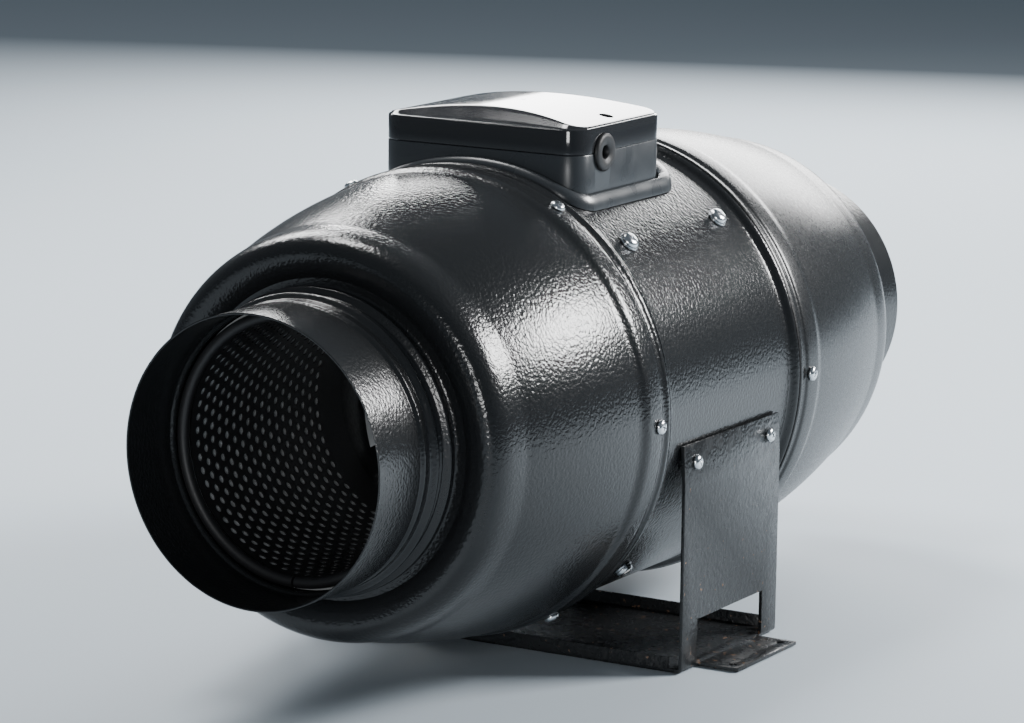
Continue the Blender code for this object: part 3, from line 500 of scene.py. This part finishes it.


# Near-black plastic: painted shade for the dark depths of the throat.
painted_shade_plastic = textured("black_housing_plastic", (0.010, 0.010, 0.011), 0.50, (0.44, 0.58), (400.0,))
for word, side in (("inlet", -1), ("outlet", 1)):
    stations = [0.0002 + (HOUSING_HALF - 0.0002) * n / 40 for n in range(41)]
    inside = [(bore_radius(along), along) for along in stations]
    outside = [(radius + 0.0025, along) for radius, along in inside[:-1]]
    outside.append((outside[-1][0], HOUSING_HALF - 0.0025))
    outline = inside + [(THROAT + 0.0160, HOUSING_HALF), (THROAT + 0.0160, HOUSING_HALF - 0.0025)]
    outline += outside[::-1]
    placed = [(radius, CASING_MIDDLE + side * along) for radius, along in outline]
    stand_in(lathe(f"{word}_housing_half", placed, painted_shade_plastic, steps=128), f"{word}_fan_housing")

# ================================================================ impeller and guide vanes
# A moulded mixed-flow impeller: nine swept blades on a domed hub, bonded to the motor's
# rotor. Seven still vanes behind it straighten the air.
HUB_NOSE, HUB_RADIUS = 0.034, 0.056
IMPELLER_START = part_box("impeller")[0][1] - CASING_MIDDLE
IMPELLER_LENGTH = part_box("impeller")[1][1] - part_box("impeller")[0][1]


def hub_radius(along):
    t = min(max((along - IMPELLER_START) / IMPELLER_LENGTH, 0.0), 1.0)
    return HUB_NOSE + (HUB_RADIUS - HUB_NOSE) * math.sin(math.pi / 2 * t)


def blade(name, start, length, root, tip, sweep, thick, skin):
    """One blade standing up from the axis, thin at its two edges."""
    rows, columns = 8, 16
    points, faces = [], []
    for face in (1, -1):
        for j in range(rows + 1):
            for i in range(columns + 1):
                t, s = i / columns, j / rows
                along = start + length * t
                radius = root(along) * (1 - s) + tip(along) * s
                half = face * thick / 2 * max(math.sin(math.pi * min(0.04 + 0.94 * t, 1.0)) ** 0.5, 0.15)
                angle = sweep * t * (1.0 - 0.35 * t) + half / radius
                points.append((radius * math.sin(angle), along, radius * math.cos(angle)))
    width, layer = columns + 1, (columns + 1) * (rows + 1)
    for j in range(rows):
        for i in range(columns):
            a = j * width + i
            faces += [(a, a + 1, a + 1 + width, a + width),
                      (layer + a + width, layer + a + width + 1, layer + a + 1, layer + a)]
    rim = [i for i in range(width)] + [j * width + columns for j in range(1, rows + 1)]
    rim += [rows * width + i for i in range(columns - 1, -1, -1)]
    rim += [j * width for j in range(rows - 1, 0, -1)]
    faces += [(a, layer + a, layer + b, b) for a, b in zip(rim, rim[1:] + rim[:1])]
    mesh = bpy.data.meshes.new(name)
    mesh.from_pydata(points, [], faces)
    return finish(mesh, name, skin, 50.0)


def placed_pieces_tree():
    """One piece on each point, its own Z turned to the point's stored outward direction."""
    tree, start, end = new_tree("pieces_on_points", [
        ("Piece", 'NodeSocketObject'), ("Spin", 'NodeSocketFloat'), ("Seed", 'NodeSocketInt'),
        ("Finish", 'NodeSocketMaterial')])
    new = tree.nodes.new
    piece, out = new("GeometryNodeObjectInfo"), new("GeometryNodeInputNamedAttribute")
    out.data_type = 'FLOAT_VECTOR'
    out.inputs["Name"].default_value = "out"
    aim, spin = new("FunctionNodeAlignRotationToVector"), new("FunctionNodeAxisAngleToRotation")
    aim.axis = 'Z'
    both, chance = new("FunctionNodeRotateRotation"), new("FunctionNodeRandomValue")
    both.rotation_space = 'LOCAL'
    spin.inputs["Axis"].default_value = (0.0, 0.0, 1.0)
    copies, real = new("GeometryNodeInstanceOnPoints"), new("GeometryNodeRealizeInstances")
    paint = new("GeometryNodeSetMaterial")
    chain(tree, start.outputs["Piece"], piece.inputs["Object"],
          start.outputs["Geometry"], copies.inputs["Points"],
          piece.outputs["Geometry"], copies.inputs["Instance"],
          out.outputs["Attribute"], aim.inputs["Vector"],
          start.outputs["Spin"], chance.inputs[3], start.outputs["Seed"], chance.inputs["Seed"],
          chance.outputs[1], spin.inputs["Angle"],
          aim.outputs["Rotation"], both.inputs["Rotation"],
          spin.outputs["Rotation"], both.inputs["Rotate By"],
          both.outputs["Rotation"], copies.inputs["Rotation"],
          copies.outputs[0], real.inputs[0], real.outputs[0], paint.inputs["Geometry"],
          start.outputs["Finish"], paint.inputs["Material"], paint.outputs[0], end.inputs[0])
    return tree


pieces_tree = placed_pieces_tree()


def ring_of(name, piece, count, skin):
    """Copies of a piece round the axis."""
    ways = [(math.sin(math.tau * n / count), 0.0, math.cos(math.tau * n / count)) for n in range(count)]
    points = [(0.0, CASING_MIDDLE, AXIS)] * count
    item = baked(points_object(name, points, ways), pieces_tree,
                 {"Piece": piece, "Spin": 0.0, "Seed": 1, "Finish": skin}, 50.0)
    bpy.data.objects.remove(piece)
    return item


stations = [IMPELLER_START + IMPELLER_LENGTH * n / 24 for n in range(25)]
seat = stations[-1] - 0.0303
nose = [(HUB_NOSE - 0.004, IMPELLER_START), (HUB_NOSE - 0.0012, IMPELLER_START + 0.0006)]
outline = nose + [(hub_radius(along), along) for along in stations[1:]]
outline += [(0.0403, stations[-1]), (0.0403, seat), (0.0043, seat), (0.0043, IMPELLER_START)]
hub = lathe("impeller_hub", [(r, CASING_MIDDLE + along) for r, along in outline], grey_plastic,
            steps=128)
blades = ring_of("impeller_blades", blade(
    "impeller_blade", IMPELLER_START + 0.003, IMPELLER_LENGTH - 0.008,
    lambda along: hub_radius(along) - 0.0015, lambda along: bore_radius(along) - 0.0030,
    0.85, 0.0022, grey_plastic), 9, grey_plastic)
for item in (hub, blades):
    stand_in(item, "impeller", body="impeller")

guide_start = 0.004
tube = [(HUB_RADIUS, guide_start), (HUB_RADIUS, guide_start + 0.0490),
        (HUB_RADIUS - 0.0010, guide_start + 0.050), (0.014, guide_start + 0.050),
        (0.014, guide_start + 0.0475), (HUB_RADIUS - 0.0025, guide_start + 0.0475),
        (HUB_RADIUS - 0.0025, guide_start)]
stand_in(lathe("guide_vane_tube", [(r, CASING_MIDDLE + along) for r, along in tube], grey_plastic,
                  steps=128), "outlet_fan_housing")
vanes = ring_of("guide_vanes", blade(
    "guide_vane", guide_start + 0.004, 0.040, lambda along: HUB_RADIUS - 0.00125,
    lambda along: bore_radius(along) + 0.00125, -0.35, 0.0025, grey_plastic), 7, grey_plastic)
stand_in(vanes, "outlet_fan_housing")

# ================================================================ motor
# The external-rotor motor inside the hub: steel rotor can and shaft, laminated stator, two
# ball bearings, and the moulded cone that closes the tube behind them.
motor_steel = textured("plain_motor_steel", (0.32, 0.33, 0.35), 0.34, (0.28, 0.44), (300.0, 3.0),
                       metallic=1.0)
bearing_steel = textured("ground_bearing_steel", (0.62, 0.63, 0.64), 0.2, (0.16, 0.26), (500.0,),
                         metallic=1.0)
for node in ("motor_rotor", "motor_shaft", "motor_stator"):
    repaint(node, motor_steel)
for node in ("front_bearing", "rear_bearing"):
    repaint(node, bearing_steel)
low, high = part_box("tail_cone")
base, tip_y = low[1], high[1]
cone = [(HUB_RADIUS - 0.0006, base), (HUB_RADIUS, base + 0.0006)]
cone += bezier((HUB_RADIUS, base + 0.0006), (HUB_RADIUS - 0.004, base + 0.020), (0.016, base + 0.040), 24)
cone += bezier((0.016, base + 0.040), (0.010, tip_y - 0.0005), (0.0, tip_y), 8)
cone += [(0.0, tip_y - 0.0025), (0.014, base + 0.0375)]
cone += [(radius - 0.0025, along - 0.001) for radius, along in cone[20:2:-3]]
cone += [(HUB_RADIUS - 0.0025, base)]
stand_in(lathe("moulded_tail_cone", cone, grey_plastic, steps=128), "tail_cone")

# ================================================================ terminal box base
# Dark grey moulded box screwed to the casing, its foot shaped to the casing's curve and
# its walls slightly drafted. The cable grommet sits in a hole across its parting line.
box_plastic, nodes, links, shader = new_material("dark_grey_box_plastic", (0.036, 0.041, 0.046), 0.30)
grain = noise_on(nodes, links, 900.0, 2.0)
links.new(bump_on(nodes, links, grain, 0.10, 0.0002), shader.inputs["Normal"])
links.new(spread(nodes, links, noise_on(nodes, links, 60.0), 0.24, 0.36), shader.inputs["Roughness"])
low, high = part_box("terminal_box_base")
BOX = (high[0], (high[1] - low[1]) / 2, (high[1] + low[1]) / 2, high[2])
CORNER = 0.013


def rounded(half_x, half_y, corner, middle_y, straight=24, bend=10):
    """A rounded rectangle's outline, its straight sides divided so that they can follow a curve."""
    points = []
    for sx, sy, quarter in ((1, 1, 0), (-1, 1, 1), (-1, -1, 2), (1, -1, 3)):
        cx, cy = sx * (half_x - corner), sy * (half_y - corner)
        for n in range(bend + 1):
            turn = math.pi / 2 * (quarter + n / bend)
            points.append((cx + corner * math.cos(turn), middle_y + cy + corner * math.sin(turn)))
    outline = []
    for index, here in enumerate(points):
        outline.append(here)
        there = points[(index + 1) % len(points)]
        if (index + 1) % (bend + 1) == 0:
            outline += [(here[0] + (there[0] - here[0]) * n / straight,
                         here[1] + (there[1] - here[1]) * n / straight) for n in range(1, straight)]
    return outline


def stacked(name, loops, skin, angle=35.0):
    """Joins loops of the same count, the last one to the first."""
    form = bmesh.new()
    rings = [[form.verts.new(point) for point in loop] for loop in loops]
    for here, there in zip(rings, rings[1:] + rings[:1]):
        for n in range(len(here)):
            m = (n + 1) % len(here)
            form.faces.new((here[n], here[m], there[m], there[n]))
    return finish(made(form, name), name, skin, angle)


def on_casing(outline, lift):
    """Puts an outline on a cylinder that is the casing grown by lift."""
    return [(x, y, AXIS + math.sqrt((CASING + lift) ** 2 - x * x)) for x, y in outline]


def at_height(outline, height):
    return [(x, y, height) for x, y in outline]


def cut(item, tools, operation='DIFFERENCE', angle=35.0):
    """Boolean with each tool in turn; the result is kept as a plain mesh."""
    for tool in tools:
        live = item.modifiers.new("shape", 'BOOLEAN')
        live.operation, live.solver, live.object = operation, 'EXACT', tool
    name = item.name
    mesh = frozen(item)
    for tool in tools:
        bpy.data.objects.remove(tool)
    return finish(mesh, name, None, angle)


def peg(point, way, radius, length, steps=48):
    """A round bar centred on a point, for drilling."""
    form = bmesh.new()
    turn = Vector((0.0, 0.0, 1.0)).rotation_difference(Vector(way)).to_matrix().to_4x4()
    turn.translation = point
    bmesh.ops.create_cone(form, cap_ends=True, segments=steps, radius1=radius, radius2=radius,
                          depth=length, matrix=turn)
    return linked("drill", made(form, "drill"))


half_x, half_y, middle_y, parting = BOX
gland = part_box("cable_grommet")
GLAND_RADIUS = (gland[1][2] - gland[0][2]) / 2
GLAND_POINT = (half_x, (gland[0][1] + gland[1][1]) / 2, (gland[0][2] + gland[1][2]) / 2)
outer = rounded(half_x, half_y, CORNER, middle_y)
shy = rounded(half_x - 0.0003, half_y - 0.0003, CORNER - 0.0003, middle_y)
inner = rounded(half_x - 0.0025, half_y - 0.0025, CORNER - 0.0025, middle_y)
box = stacked("moulded_box_base", [
    on_casing(outer, 0.0004), on_casing(outer, 0.006), at_height(outer, parting - 0.0005),
    at_height(shy, parting), at_height(inner, parting), on_casing(inner, 0.0050),
    on_casing(inner, 0.0004)], box_plastic)
box = cut(box, [peg(GLAND_POINT, (1, 0, 0), GLAND_RADIUS - 0.0016, 0.014)])
stand_in(box, "terminal_box_base")

# ================================================================ terminal box lid
# Glossy moulded lid with an arched roof. A flat crescent leans back above the straight edge
# of its front and of its rear, and two wells in the roof take the screws that hold it down.
lid_plastic, nodes, links, shader = new_material("glossy_box_lid_plastic", (0.020, 0.021, 0.023), 0.10)
shader.inputs["Coat Weight"].default_value = 0.4
shader.inputs["Coat Roughness"].default_value = 0.05
links.new(spread(nodes, links, noise_on(nodes, links, 40.0), 0.08, 0.14), shader.inputs["Roughness"])
links.new(bump_on(nodes, links, noise_on(nodes, links, 25.0, 1.0), 0.05, 0.0010), shader.inputs["Normal"])
low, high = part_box("terminal_box_lid")
lid_low, crown = low[2], high[2] - 0.0001
edge = parting + 0.0147
LEAN = 0.0130
FILLET = 0.0012


def arch(x):
    return crown - (crown - edge) * (x / (half_x + 0.001)) ** 2


def inward(outline, distance):
    """Moves each point of the rounded outline inwards along its own normal."""
    moved = []
    count = len(outline)
    for n, (x, y) in enumerate(outline):
        ahead, behind = outline[(n + 1) % count], outline[n - 1]
        run = Vector((ahead[0] - behind[0], ahead[1] - behind[1])).normalized()
        step = distance[n] if isinstance(distance, list) else distance
        moved.append((x - run.y * step, y + run.x * step))
    return moved


loops = [at_height(shy, lid_low), at_height(outer, lid_low + 0.0004), at_height(outer, edge - FILLET)]
for n in range(1, 4):
    turn = math.pi / 2 * n / 3
    loops.append(at_height(inward(outer, FILLET * (1 - math.cos(turn))),
                           edge - FILLET * (1 - math.sin(turn))))
shares = [max(arch(x) - edge, 0.0) / (crown - edge) for x, y in outer]
for t in (0.25, 0.5, 0.75, 0.97, 1.0):
    ring = inward(outer, [FILLET + LEAN * t * share for share in shares])
    loops.append([(x, y, edge + min(t * 1.02, 1.0) * (arch(x) - edge)) for x, y in ring])
last = [(x, y) for x, y, z in loops[-1]]
for n in range(1, 25):
    shrink = 1 - n / 24.5
    loops.append([(x * shrink, middle_y + (y - middle_y) * shrink, arch(x * shrink)) for x, y in last])
flat = at_height(inner, edge - 0.003)
core = [(x * 0.02, middle_y + (y - middle_y) * 0.02, edge - 0.003) for x, y, z in flat]
loops += [core, flat, at_height(inner, lid_low)]
lid = stacked("moulded_box_lid", loops, lid_plastic, 28.0)
HEAD_RISE = 0.65                # height of a screw's head, in head radii
LID_SIZE = (0.0036, 0.0016, 0.008, 0.0)
SCREW_WELLS = []
for index in (1, 2):
    low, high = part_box(f"lid_screw_{index}")
    SCREW_WELLS.append(((low[0] + high[0]) / 2, (low[1] + high[1]) / 2, high[2] - HEAD_RISE * LID_SIZE[0]))
wells = [peg((x, y, z + 0.020), (0, 0, 1), 0.0042, 0.040) for x, y, z in SCREW_WELLS]
lid = cut(lid, [peg(GLAND_POINT, (1, 0, 0), GLAND_RADIUS - 0.0016, 0.014)] + wells, angle=28.0)
stand_in(lid, "terminal_box_lid")

# ================================================================ terminal box saddle
# The moulded flange round the box's foot, shaped to the casing, with a bevelled outer edge
# and a narrow joint between it and the box.
low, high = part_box("terminal_box_saddle")
brim = rounded(high[0], (high[1] - low[1]) / 2, 0.020, (high[1] + low[1]) / 2)
pocket = rounded(half_x + 0.0012, half_y + 0.0012, CORNER + 0.0012, middle_y)
ledge = inward(brim, 0.0030)
soft = inward(brim, 0.0018)
saddle = stacked("moulded_saddle", [
    on_casing(brim, 0.0004), on_casing(brim, 0.0026), on_casing(inward(brim, 0.0006), 0.0042),
    on_casing(soft, 0.0058), on_casing(ledge, 0.0064), on_casing(inward(pocket, -0.0007), 0.0064),
    on_casing(inward(pocket, -0.0002), 0.0061), on_casing(pocket, 0.0054), on_casing(pocket, 0.0004)],
    box_plastic)
stand_in(saddle, "terminal_box_saddle")

# ================================================================ cable grommet
# A black rubber grommet in the side of the box, where the supply cable goes in. It is a
# soft ring with a groove that grips the box's wall.
low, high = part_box("cable_grommet")
lip = high[0] - half_x
profile = [(0.0037, -0.0040), (0.0037, lip * 0.35), (0.0042, lip * 0.60), (0.0050, lip * 0.70),
           (0.0058, lip * 0.86), (0.0070, lip * 0.98), (0.0082, lip), (0.0093, lip * 0.95),
           (0.0102, lip * 0.80), (0.0107, lip * 0.55), (GLAND_RADIUS, lip * 0.30), (GLAND_RADIUS, 0.0004),
           (GLAND_RADIUS - 0.0020, 0.0003), (GLAND_RADIUS - 0.0020, -0.0030),
           (GLAND_RADIUS - 0.0010, -0.0032), (GLAND_RADIUS - 0.0012, -0.0046), (0.0060, -0.0048)]
turns = [math.tau * step / 64 for step in range(64)]
loops = [[(half_x + along, GLAND_POINT[1] + radius * math.cos(turn),
           GLAND_POINT[2] + radius * math.sin(turn)) for radius, along in profile] for turn in turns]
stand_in(stacked("rubber_grommet", loops, rubber, 50.0), "cable_grommet")

# ================================================================ inside the box
# A white terminal block and a small run capacitor stand on the box's floor. The closed lid
# hides both.
white_plastic = textured("white_electrical_plastic", (0.72, 0.71, 0.67), 0.4, (0.34, 0.48), (150.0,))
for node in ("terminal_block", "run_capacitor"):
    repaint(node, white_plastic)

# ================================================================ mounting bracket
# One folded steel sheet: a base with upturned lips, two legs with windows at their feet,
# tabs bent to the casing, and the metal of each window turned out as a drilled ear.
low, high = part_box("mounting_bracket")
THICK = 0.0020
FOLD = 0.0036
WINDOW_HEIGHT = 0.026
EAR_HOLE = 0.0024
EAR_HOLE_INSET = 0.007
leg = CASING + 0.0027
ear_end = high[0]
tab_top, width = high[2], (high[1] - low[1]) / 2
bend_height = AXIS - 0.0400
contact = math.sqrt((CASING + 0.0003) ** 2 - (tab_top - AXIS) ** 2)
slope = math.atan((leg - THICK - contact - 0.0004) / (tab_top - bend_height))
tab = leg - (tab_top - bend_height) * math.tan(slope)
window = width - 0.018


def worn_tint(nodes, links, colour):
    """The coat's colour with rusty specks, few on the faces and more near the base's ends."""
    specks = noise_on(nodes, links, 260.0, 4.0)
    apart = nodes.new("ShaderNodeSeparateXYZ")
    links.new(nodes.new("ShaderNodeTexCoord").outputs["Object"], apart.inputs["Vector"])
    near = nodes.new("ShaderNodeMapRange")
    near.inputs["From Min"].default_value = AXIS / 2
    near.inputs["From Max"].default_value = 0.0
    near.inputs["To Min"].default_value = 0.0
    near.inputs["To Max"].default_value = 0.035
    links.new(apart.outputs["Z"], near.inputs["Value"])
    total = nodes.new("ShaderNodeMath")
    total.operation = 'ADD'
    links.new(specks, total.inputs[0])
    links.new(near.outputs["Result"], total.inputs[1])
    ramp = nodes.new("ShaderNodeMapRange")
    ramp.inputs["From Min"].default_value = 0.70
    ramp.inputs["From Max"].default_value = 0.74
    links.new(total.outputs[0], ramp.inputs["Value"])
    tint = nodes.new("ShaderNodeMix")
    tint.data_type = 'RGBA'
    tint.inputs["A"].default_value = (*colour, 1.0)
    tint.inputs["B"].default_value = (0.22, 0.13, 0.08, 1.0)
    links.new(ramp.outputs["Result"], tint.inputs["Factor"])
    return tint.outputs["Result"]


worn_coat, nodes, links, shader = new_material("worn_black_coat", (0.013, 0.014, 0.015), 0.24)
grain = noise_on(nodes, links, 400.0, 1.0)
links.new(bump_on(nodes, links, grain, 0.40, 0.0008), shader.inputs["Normal"])
links.new(spread(nodes, links, noise_on(nodes, links, 120.0), 0.20, 0.33), shader.inputs["Roughness"])
links.new(worn_tint(nodes, links, (0.013, 0.014, 0.015)), shader.inputs["Base Color"])


def slab(name, corners, low_y, high_y):
    """A sheet section in X and Z carried along Y."""
    mesh = bpy.data.meshes.new(name)
    count = len(corners)
    points = [(x, y, z) for y in (low_y, high_y) for x, z in corners]
    faces = [tuple(range(count)), tuple(range(2 * count - 1, count - 1, -1))]
    faces += [(n, (n + 1) % count, count + (n + 1) % count, count + n) for n in range(count)]
    mesh.from_pydata(points, [], faces)
    return finish(mesh, name, worn_coat)


def brick(name, a, b):
    return slab(name, [(a[0], a[2]), (b[0], a[2]), (b[0], b[2]), (a[0], b[2])], a[1], b[1])


def folded(path, thickness, radius, sides=6):
    """Rounds the corners of an open path of (x, z) and gives it a thickness on its left."""
    centre = [path[0]]
    for before, here, after in zip(path, path[1:], path[2:]):
        p, q, r = Vector(before), Vector(here), Vector(after)
        u, v = (p - q).normalized(), (r - q).normalized()
        spread_angle = u.angle(v)
        cutback = radius / math.tan(spread_angle / 2)
        for n in range(sides + 1):
            t = n / sides
            a, b = q + u * cutback, q + v * cutback
            centre.append(tuple(a * (1 - t) ** 2 + q * 2 * t * (1 - t) + b * t * t))
    centre.append(path[-1])
    inner = []
    for n, point in enumerate(centre):
        run = Vector(centre[min(n + 1, len(centre) - 1)]) - Vector(centre[max(n - 1, 0)])
        run.normalize()
        inner.append((point[0] - run.y * thickness, point[1] + run.x * thickness))
    return centre + inner[::-1]


path = [(-tab, tab_top), (-leg, bend_height), (-leg, 0.0)]
path += [(-x, z) for x, z in path[::-1]]
strip = slab("folded_bracket", folded(path, THICK, FOLD), CASING_MIDDLE - width, CASING_MIDDLE + width)
hole = brick("leg_window", (-0.3, CASING_MIDDLE - window, THICK),
             (0.3, CASING_MIDDLE + window, THICK + WINDOW_HEIGHT))
strip = cut(strip, [hole])
TUCK = 0.00005
ear_half = window - 0.0035
ear_reach = CASING_MIDDLE - ear_half, CASING_MIDDLE + ear_half
parts = [brick("ear", (-ear_end, ear_reach[0], TUCK), (-leg + 0.008, ear_reach[1], THICK - TUCK)),
         brick("ear", (leg - 0.008, ear_reach[0], TUCK), (ear_end, ear_reach[1], THICK - TUCK))]
for side in (-1, 1):
    near, far = sorted(CASING_MIDDLE + side * (width - inset) for inset in (TUCK, THICK))
    parts.append(brick("lip", (-leg + THICK + 0.007, near, 0.0004), (leg - THICK - 0.007, far, 0.0085)))
strip = cut(strip, parts, 'UNION')
ears = [peg((x * (ear_end - EAR_HOLE_INSET), CASING_MIDDLE + y * (ear_half - EAR_HOLE_INSET), 0.0),
            (0, 0, 1), EAR_HOLE, 0.02) for x in (-1, 1) for y in (-1, 1)]
strip = cut(strip, ears)
soften = strip.modifiers.new("broken_edges", 'BEVEL')
soften.width, soften.segments, soften.angle_limit = 0.00035, 2, math.radians(50)
stand_in(finish(frozen(strip), "folded_bracket", None, 40.0), "mounting_bracket")

# ================================================================ screws
# Bright zinc-plated pan-head screws with a cross recess: six round the inlet band, three round
# the outlet band, eight larger ones with washers in the casing, four in the bracket's tabs and
# two in the lid's wells.
zinc, nodes, links, shader = new_material("bright_zinc_plate", (0.74, 0.76, 0.78), 0.2, 1.0)
links.new(spread(nodes, links, noise_on(nodes, links, 900.0, 3.0), 0.14, 0.30), shader.inputs["Roughness"])
links.new(bump_on(nodes, links, noise_on(nodes, links, 1400.0, 2.0), 0.10, 0.0001), shader.inputs["Normal"])


def cross_head(name, head, shank, length, washer):
    """A pan-head screw on its seat at the origin, pointing along Z."""
    base = 0.0009 if washer else 0.0
    top = base + HEAD_RISE * head
    outline = [(0.0, -length), (shank, -length), (shank, 0.0)]
    if washer:
        outline += [(washer - 0.0002, 0.0), (washer, 0.0002), (washer, 0.0007), (washer - 0.0002, base)]
    outline += [(head * 0.97, base), (head, base + 0.08 * head)]
    outline += [(head * math.cos(math.pi / 2 * n / 7) ** 0.55, base + 0.12 * head
                 + (top - base - 0.12 * head) * math.sin(math.pi / 2 * n / 7) ** 1.15) for n in range(1, 7)]
    outline += [(0.0, top)]
    form = bmesh.new()
    rings = [[form.verts.new((r * math.cos(math.tau * s / 20), r * math.sin(math.tau * s / 20), z))
              for r, z in outline] for s in range(20)]
    for here, there in zip(rings, rings[1:] + rings[:1]):
        for n in range(len(outline) - 1):
            form.faces.new((here[n], here[n + 1], there[n + 1], there[n]))
    bmesh.ops.remove_doubles(form, verts=form.verts, dist=1e-7)
    item = finish(made(form, name), name, zinc, 40.0)
    arms = []
    for turn in (0, 1):
        a, b = (0.52 * head, 0.11 * head)[::1 if turn == 0 else -1]
        corners = [(-a, -b), (a, -b), (a, b), (-a, b)]
        points = [(x, y, top + 0.001) for x, y in corners]
        points += [(x * 0.55, y * 0.8, top - 0.42 * head) for x, y in corners]
        mesh = bpy.data.meshes.new("cross_arm")
        mesh.from_pydata(points, [], [(0, 1, 2, 3), (7, 6, 5, 4), (0, 4, 5, 1), (1, 5, 6, 2),
                                      (2, 6, 7, 3), (3, 7, 4, 0)])
        arms.append(finish(mesh, "cross_arm", zinc))
    return cut(item, arms, angle=40.0)


def middle_of(node):
    low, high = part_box(node)
    return Vector([(a + b) / 2 for a, b in zip(low, high)])


def radial_places(nodes, radius):
    """Seats on a round surface; each screw's angle is taken to the nearest degree."""
    points, ways = [], []
    for node in nodes:
        centre = middle_of(node)
        turn = math.radians(round(math.degrees(math.atan2(centre.x, centre.z - AXIS))))
        way = (math.sin(turn), 0.0, math.cos(turn))
        points.append((radius * way[0], centre.y, AXIS + radius * way[2]))
        ways.append(way)
    return points, ways


# Head radius, shank radius, shank length and washer radius of each kind, as in LID_SIZE.
COVER_SIZE = (0.0043, 0.0019, 0.005, 0.0)
CASING_SIZE = (0.0055, 0.0024, 0.006, 0.0062)
BRACKET_SIZE = (0.0043, 0.0019, 0.009, 0.0)
BAND = (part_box("inlet_cover")[1][0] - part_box("inlet_cover")[0][0]) / 2
cover_nodes = sorted(node for node in SLOTS if "_cover_screw_" in node)
casing_nodes = [f"casing_screw_{n}" for n in range(1, 9)]
bracket_nodes = [f"bracket_screw_{n}" for n in range(1, 5)]
lid_nodes = ["lid_screw_1", "lid_screw_2"]
bracket_places, bracket_ways = [], []
for node in bracket_nodes:
    low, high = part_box(node)
    side = 1 if low[0] > 0 else -1
    centre = middle_of(node)
    seat_x = (high[0] if side > 0 else -low[0]) - HEAD_RISE * BRACKET_SIZE[0] * math.cos(slope)
    bracket_places.append((side * seat_x, centre.y, centre.z + 0.001 * math.sin(slope)))
    bracket_ways.append((side * math.cos(slope), 0.0, math.sin(slope)))
for name, names, (points, ways), sizes, seed in (
        ("cover_screws", cover_nodes, radial_places(cover_nodes, BAND + 0.0002), COVER_SIZE, 3),
        ("casing_screws", casing_nodes, radial_places(casing_nodes, CASING + 0.0002), CASING_SIZE, 4),
        ("bracket_screws", bracket_nodes, (bracket_places, bracket_ways), BRACKET_SIZE, 5),
        ("lid_screws", lid_nodes, (SCREW_WELLS, [(0.0, 0.0, 1.0)] * 2), LID_SIZE, 6)):
    pattern = cross_head("screw_pattern", *sizes)
    item = baked(points_object(name, points, ways), pieces_tree,
                 {"Piece": pattern, "Spin": math.pi, "Seed": seed, "Finish": zinc}, 40.0)
    bpy.data.objects.remove(pattern)
    stand_in(item, *names)

# ================================================================ studio
# A plain pale floor under a soft blue-grey room light, rectangular lamps behind, above and in
# front, and the camera in front of the inlet, to its right and a little above.
FLOOR = 6.0
FLOOR_DROP = 0.0006
floor_skin, nodes, links, shader = new_material("pale_studio_floor", (0.50, 0.57, 0.63), 0.8)
mesh = bpy.data.meshes.new("studio_floor")
corners = [(x * FLOOR, y * FLOOR, -FLOOR_DROP) for x, y in ((-1, -1), (1, -1), (1, 1), (-1, 1))]
mesh.from_pydata(corners, [], [(0, 1, 2, 3)])
mesh.materials.append(floor_skin)
linked("studio_floor", mesh)
world = bpy.data.worlds.new("soft_room")
world.use_nodes = True
sky = world.node_tree.nodes["Background"].inputs
sky["Color"].default_value = (0.62, 0.74, 0.86, 1.0)
sky["Strength"].default_value = 0.16
bpy.context.scene.world = world


def lamp(name, place, target, width, height, power):
    """A rectangular soft lamp that faces its target."""
    light = bpy.data.lights.new(name, 'AREA')
    light.shape, light.size, light.size_y = 'RECTANGLE', width, height
    light.energy = power
    item = linked(name, light)
    item.location = place
    item.rotation_euler = (Vector(target) - Vector(place)).to_track_quat('-Z', 'Y').to_euler()


lamp("right_rear_softbox", (1.25, 1.05, 1.05), (0, -0.05, 0.15), 0.70, 0.50, 60)
lamp("rear_softbox", (-0.75, 2.30, 1.00), (0, 0.1, 0.2), 1.8, 0.9, 70)
lamp("left_rear_softbox", (-1.30, 0.75, 1.35), (0, -0.1, 0.2), 0.8, 0.6, 26)
lamp("front_fill", (0.75, -2.20, 0.55), (0, -0.2, 0.15), 0.5, 0.5, 14)
lamp("overhead_softbox", (-0.55, 0.0, 1.50), (0, -0.15, 0.2), 0.5, 0.35, 14)

# The camera stands on the object's right, in front of the inlet and a little above it.
turn, rise, roll = 0.5261, 0.1892, 0.0138
DISTANCE, TO_RIGHT, UPWARDS = 27.869 * RIM, 1.7133 * RIM, 0.6692 * RIM
back = Vector((math.sin(turn) * math.cos(rise), -math.cos(turn) * math.cos(rise), math.sin(rise)))
right = Vector((math.cos(turn), math.sin(turn), 0.0))
up = back.cross(right)
right, up = (math.cos(roll) * right + math.sin(roll) * up, -math.sin(roll) * right + math.cos(roll) * up)
rim_centre = Vector((0.0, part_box("inlet_spigot")[0][1], AXIS))
camera = bpy.data.cameras.new("camera")
camera.sensor_width, camera.lens = 36.0, 149.4
view = linked("camera", camera)
turned = view.matrix_world.to_3x3()
for column, axis in enumerate((right, up, back)):
    for line in range(3):
        turned[line][column] = axis[line]
matrix = turned.to_4x4()
matrix.translation = rim_centre + back * DISTANCE + right * TO_RIGHT + up * UPWARDS
view.matrix_world = matrix
bpy.context.scene.camera = view
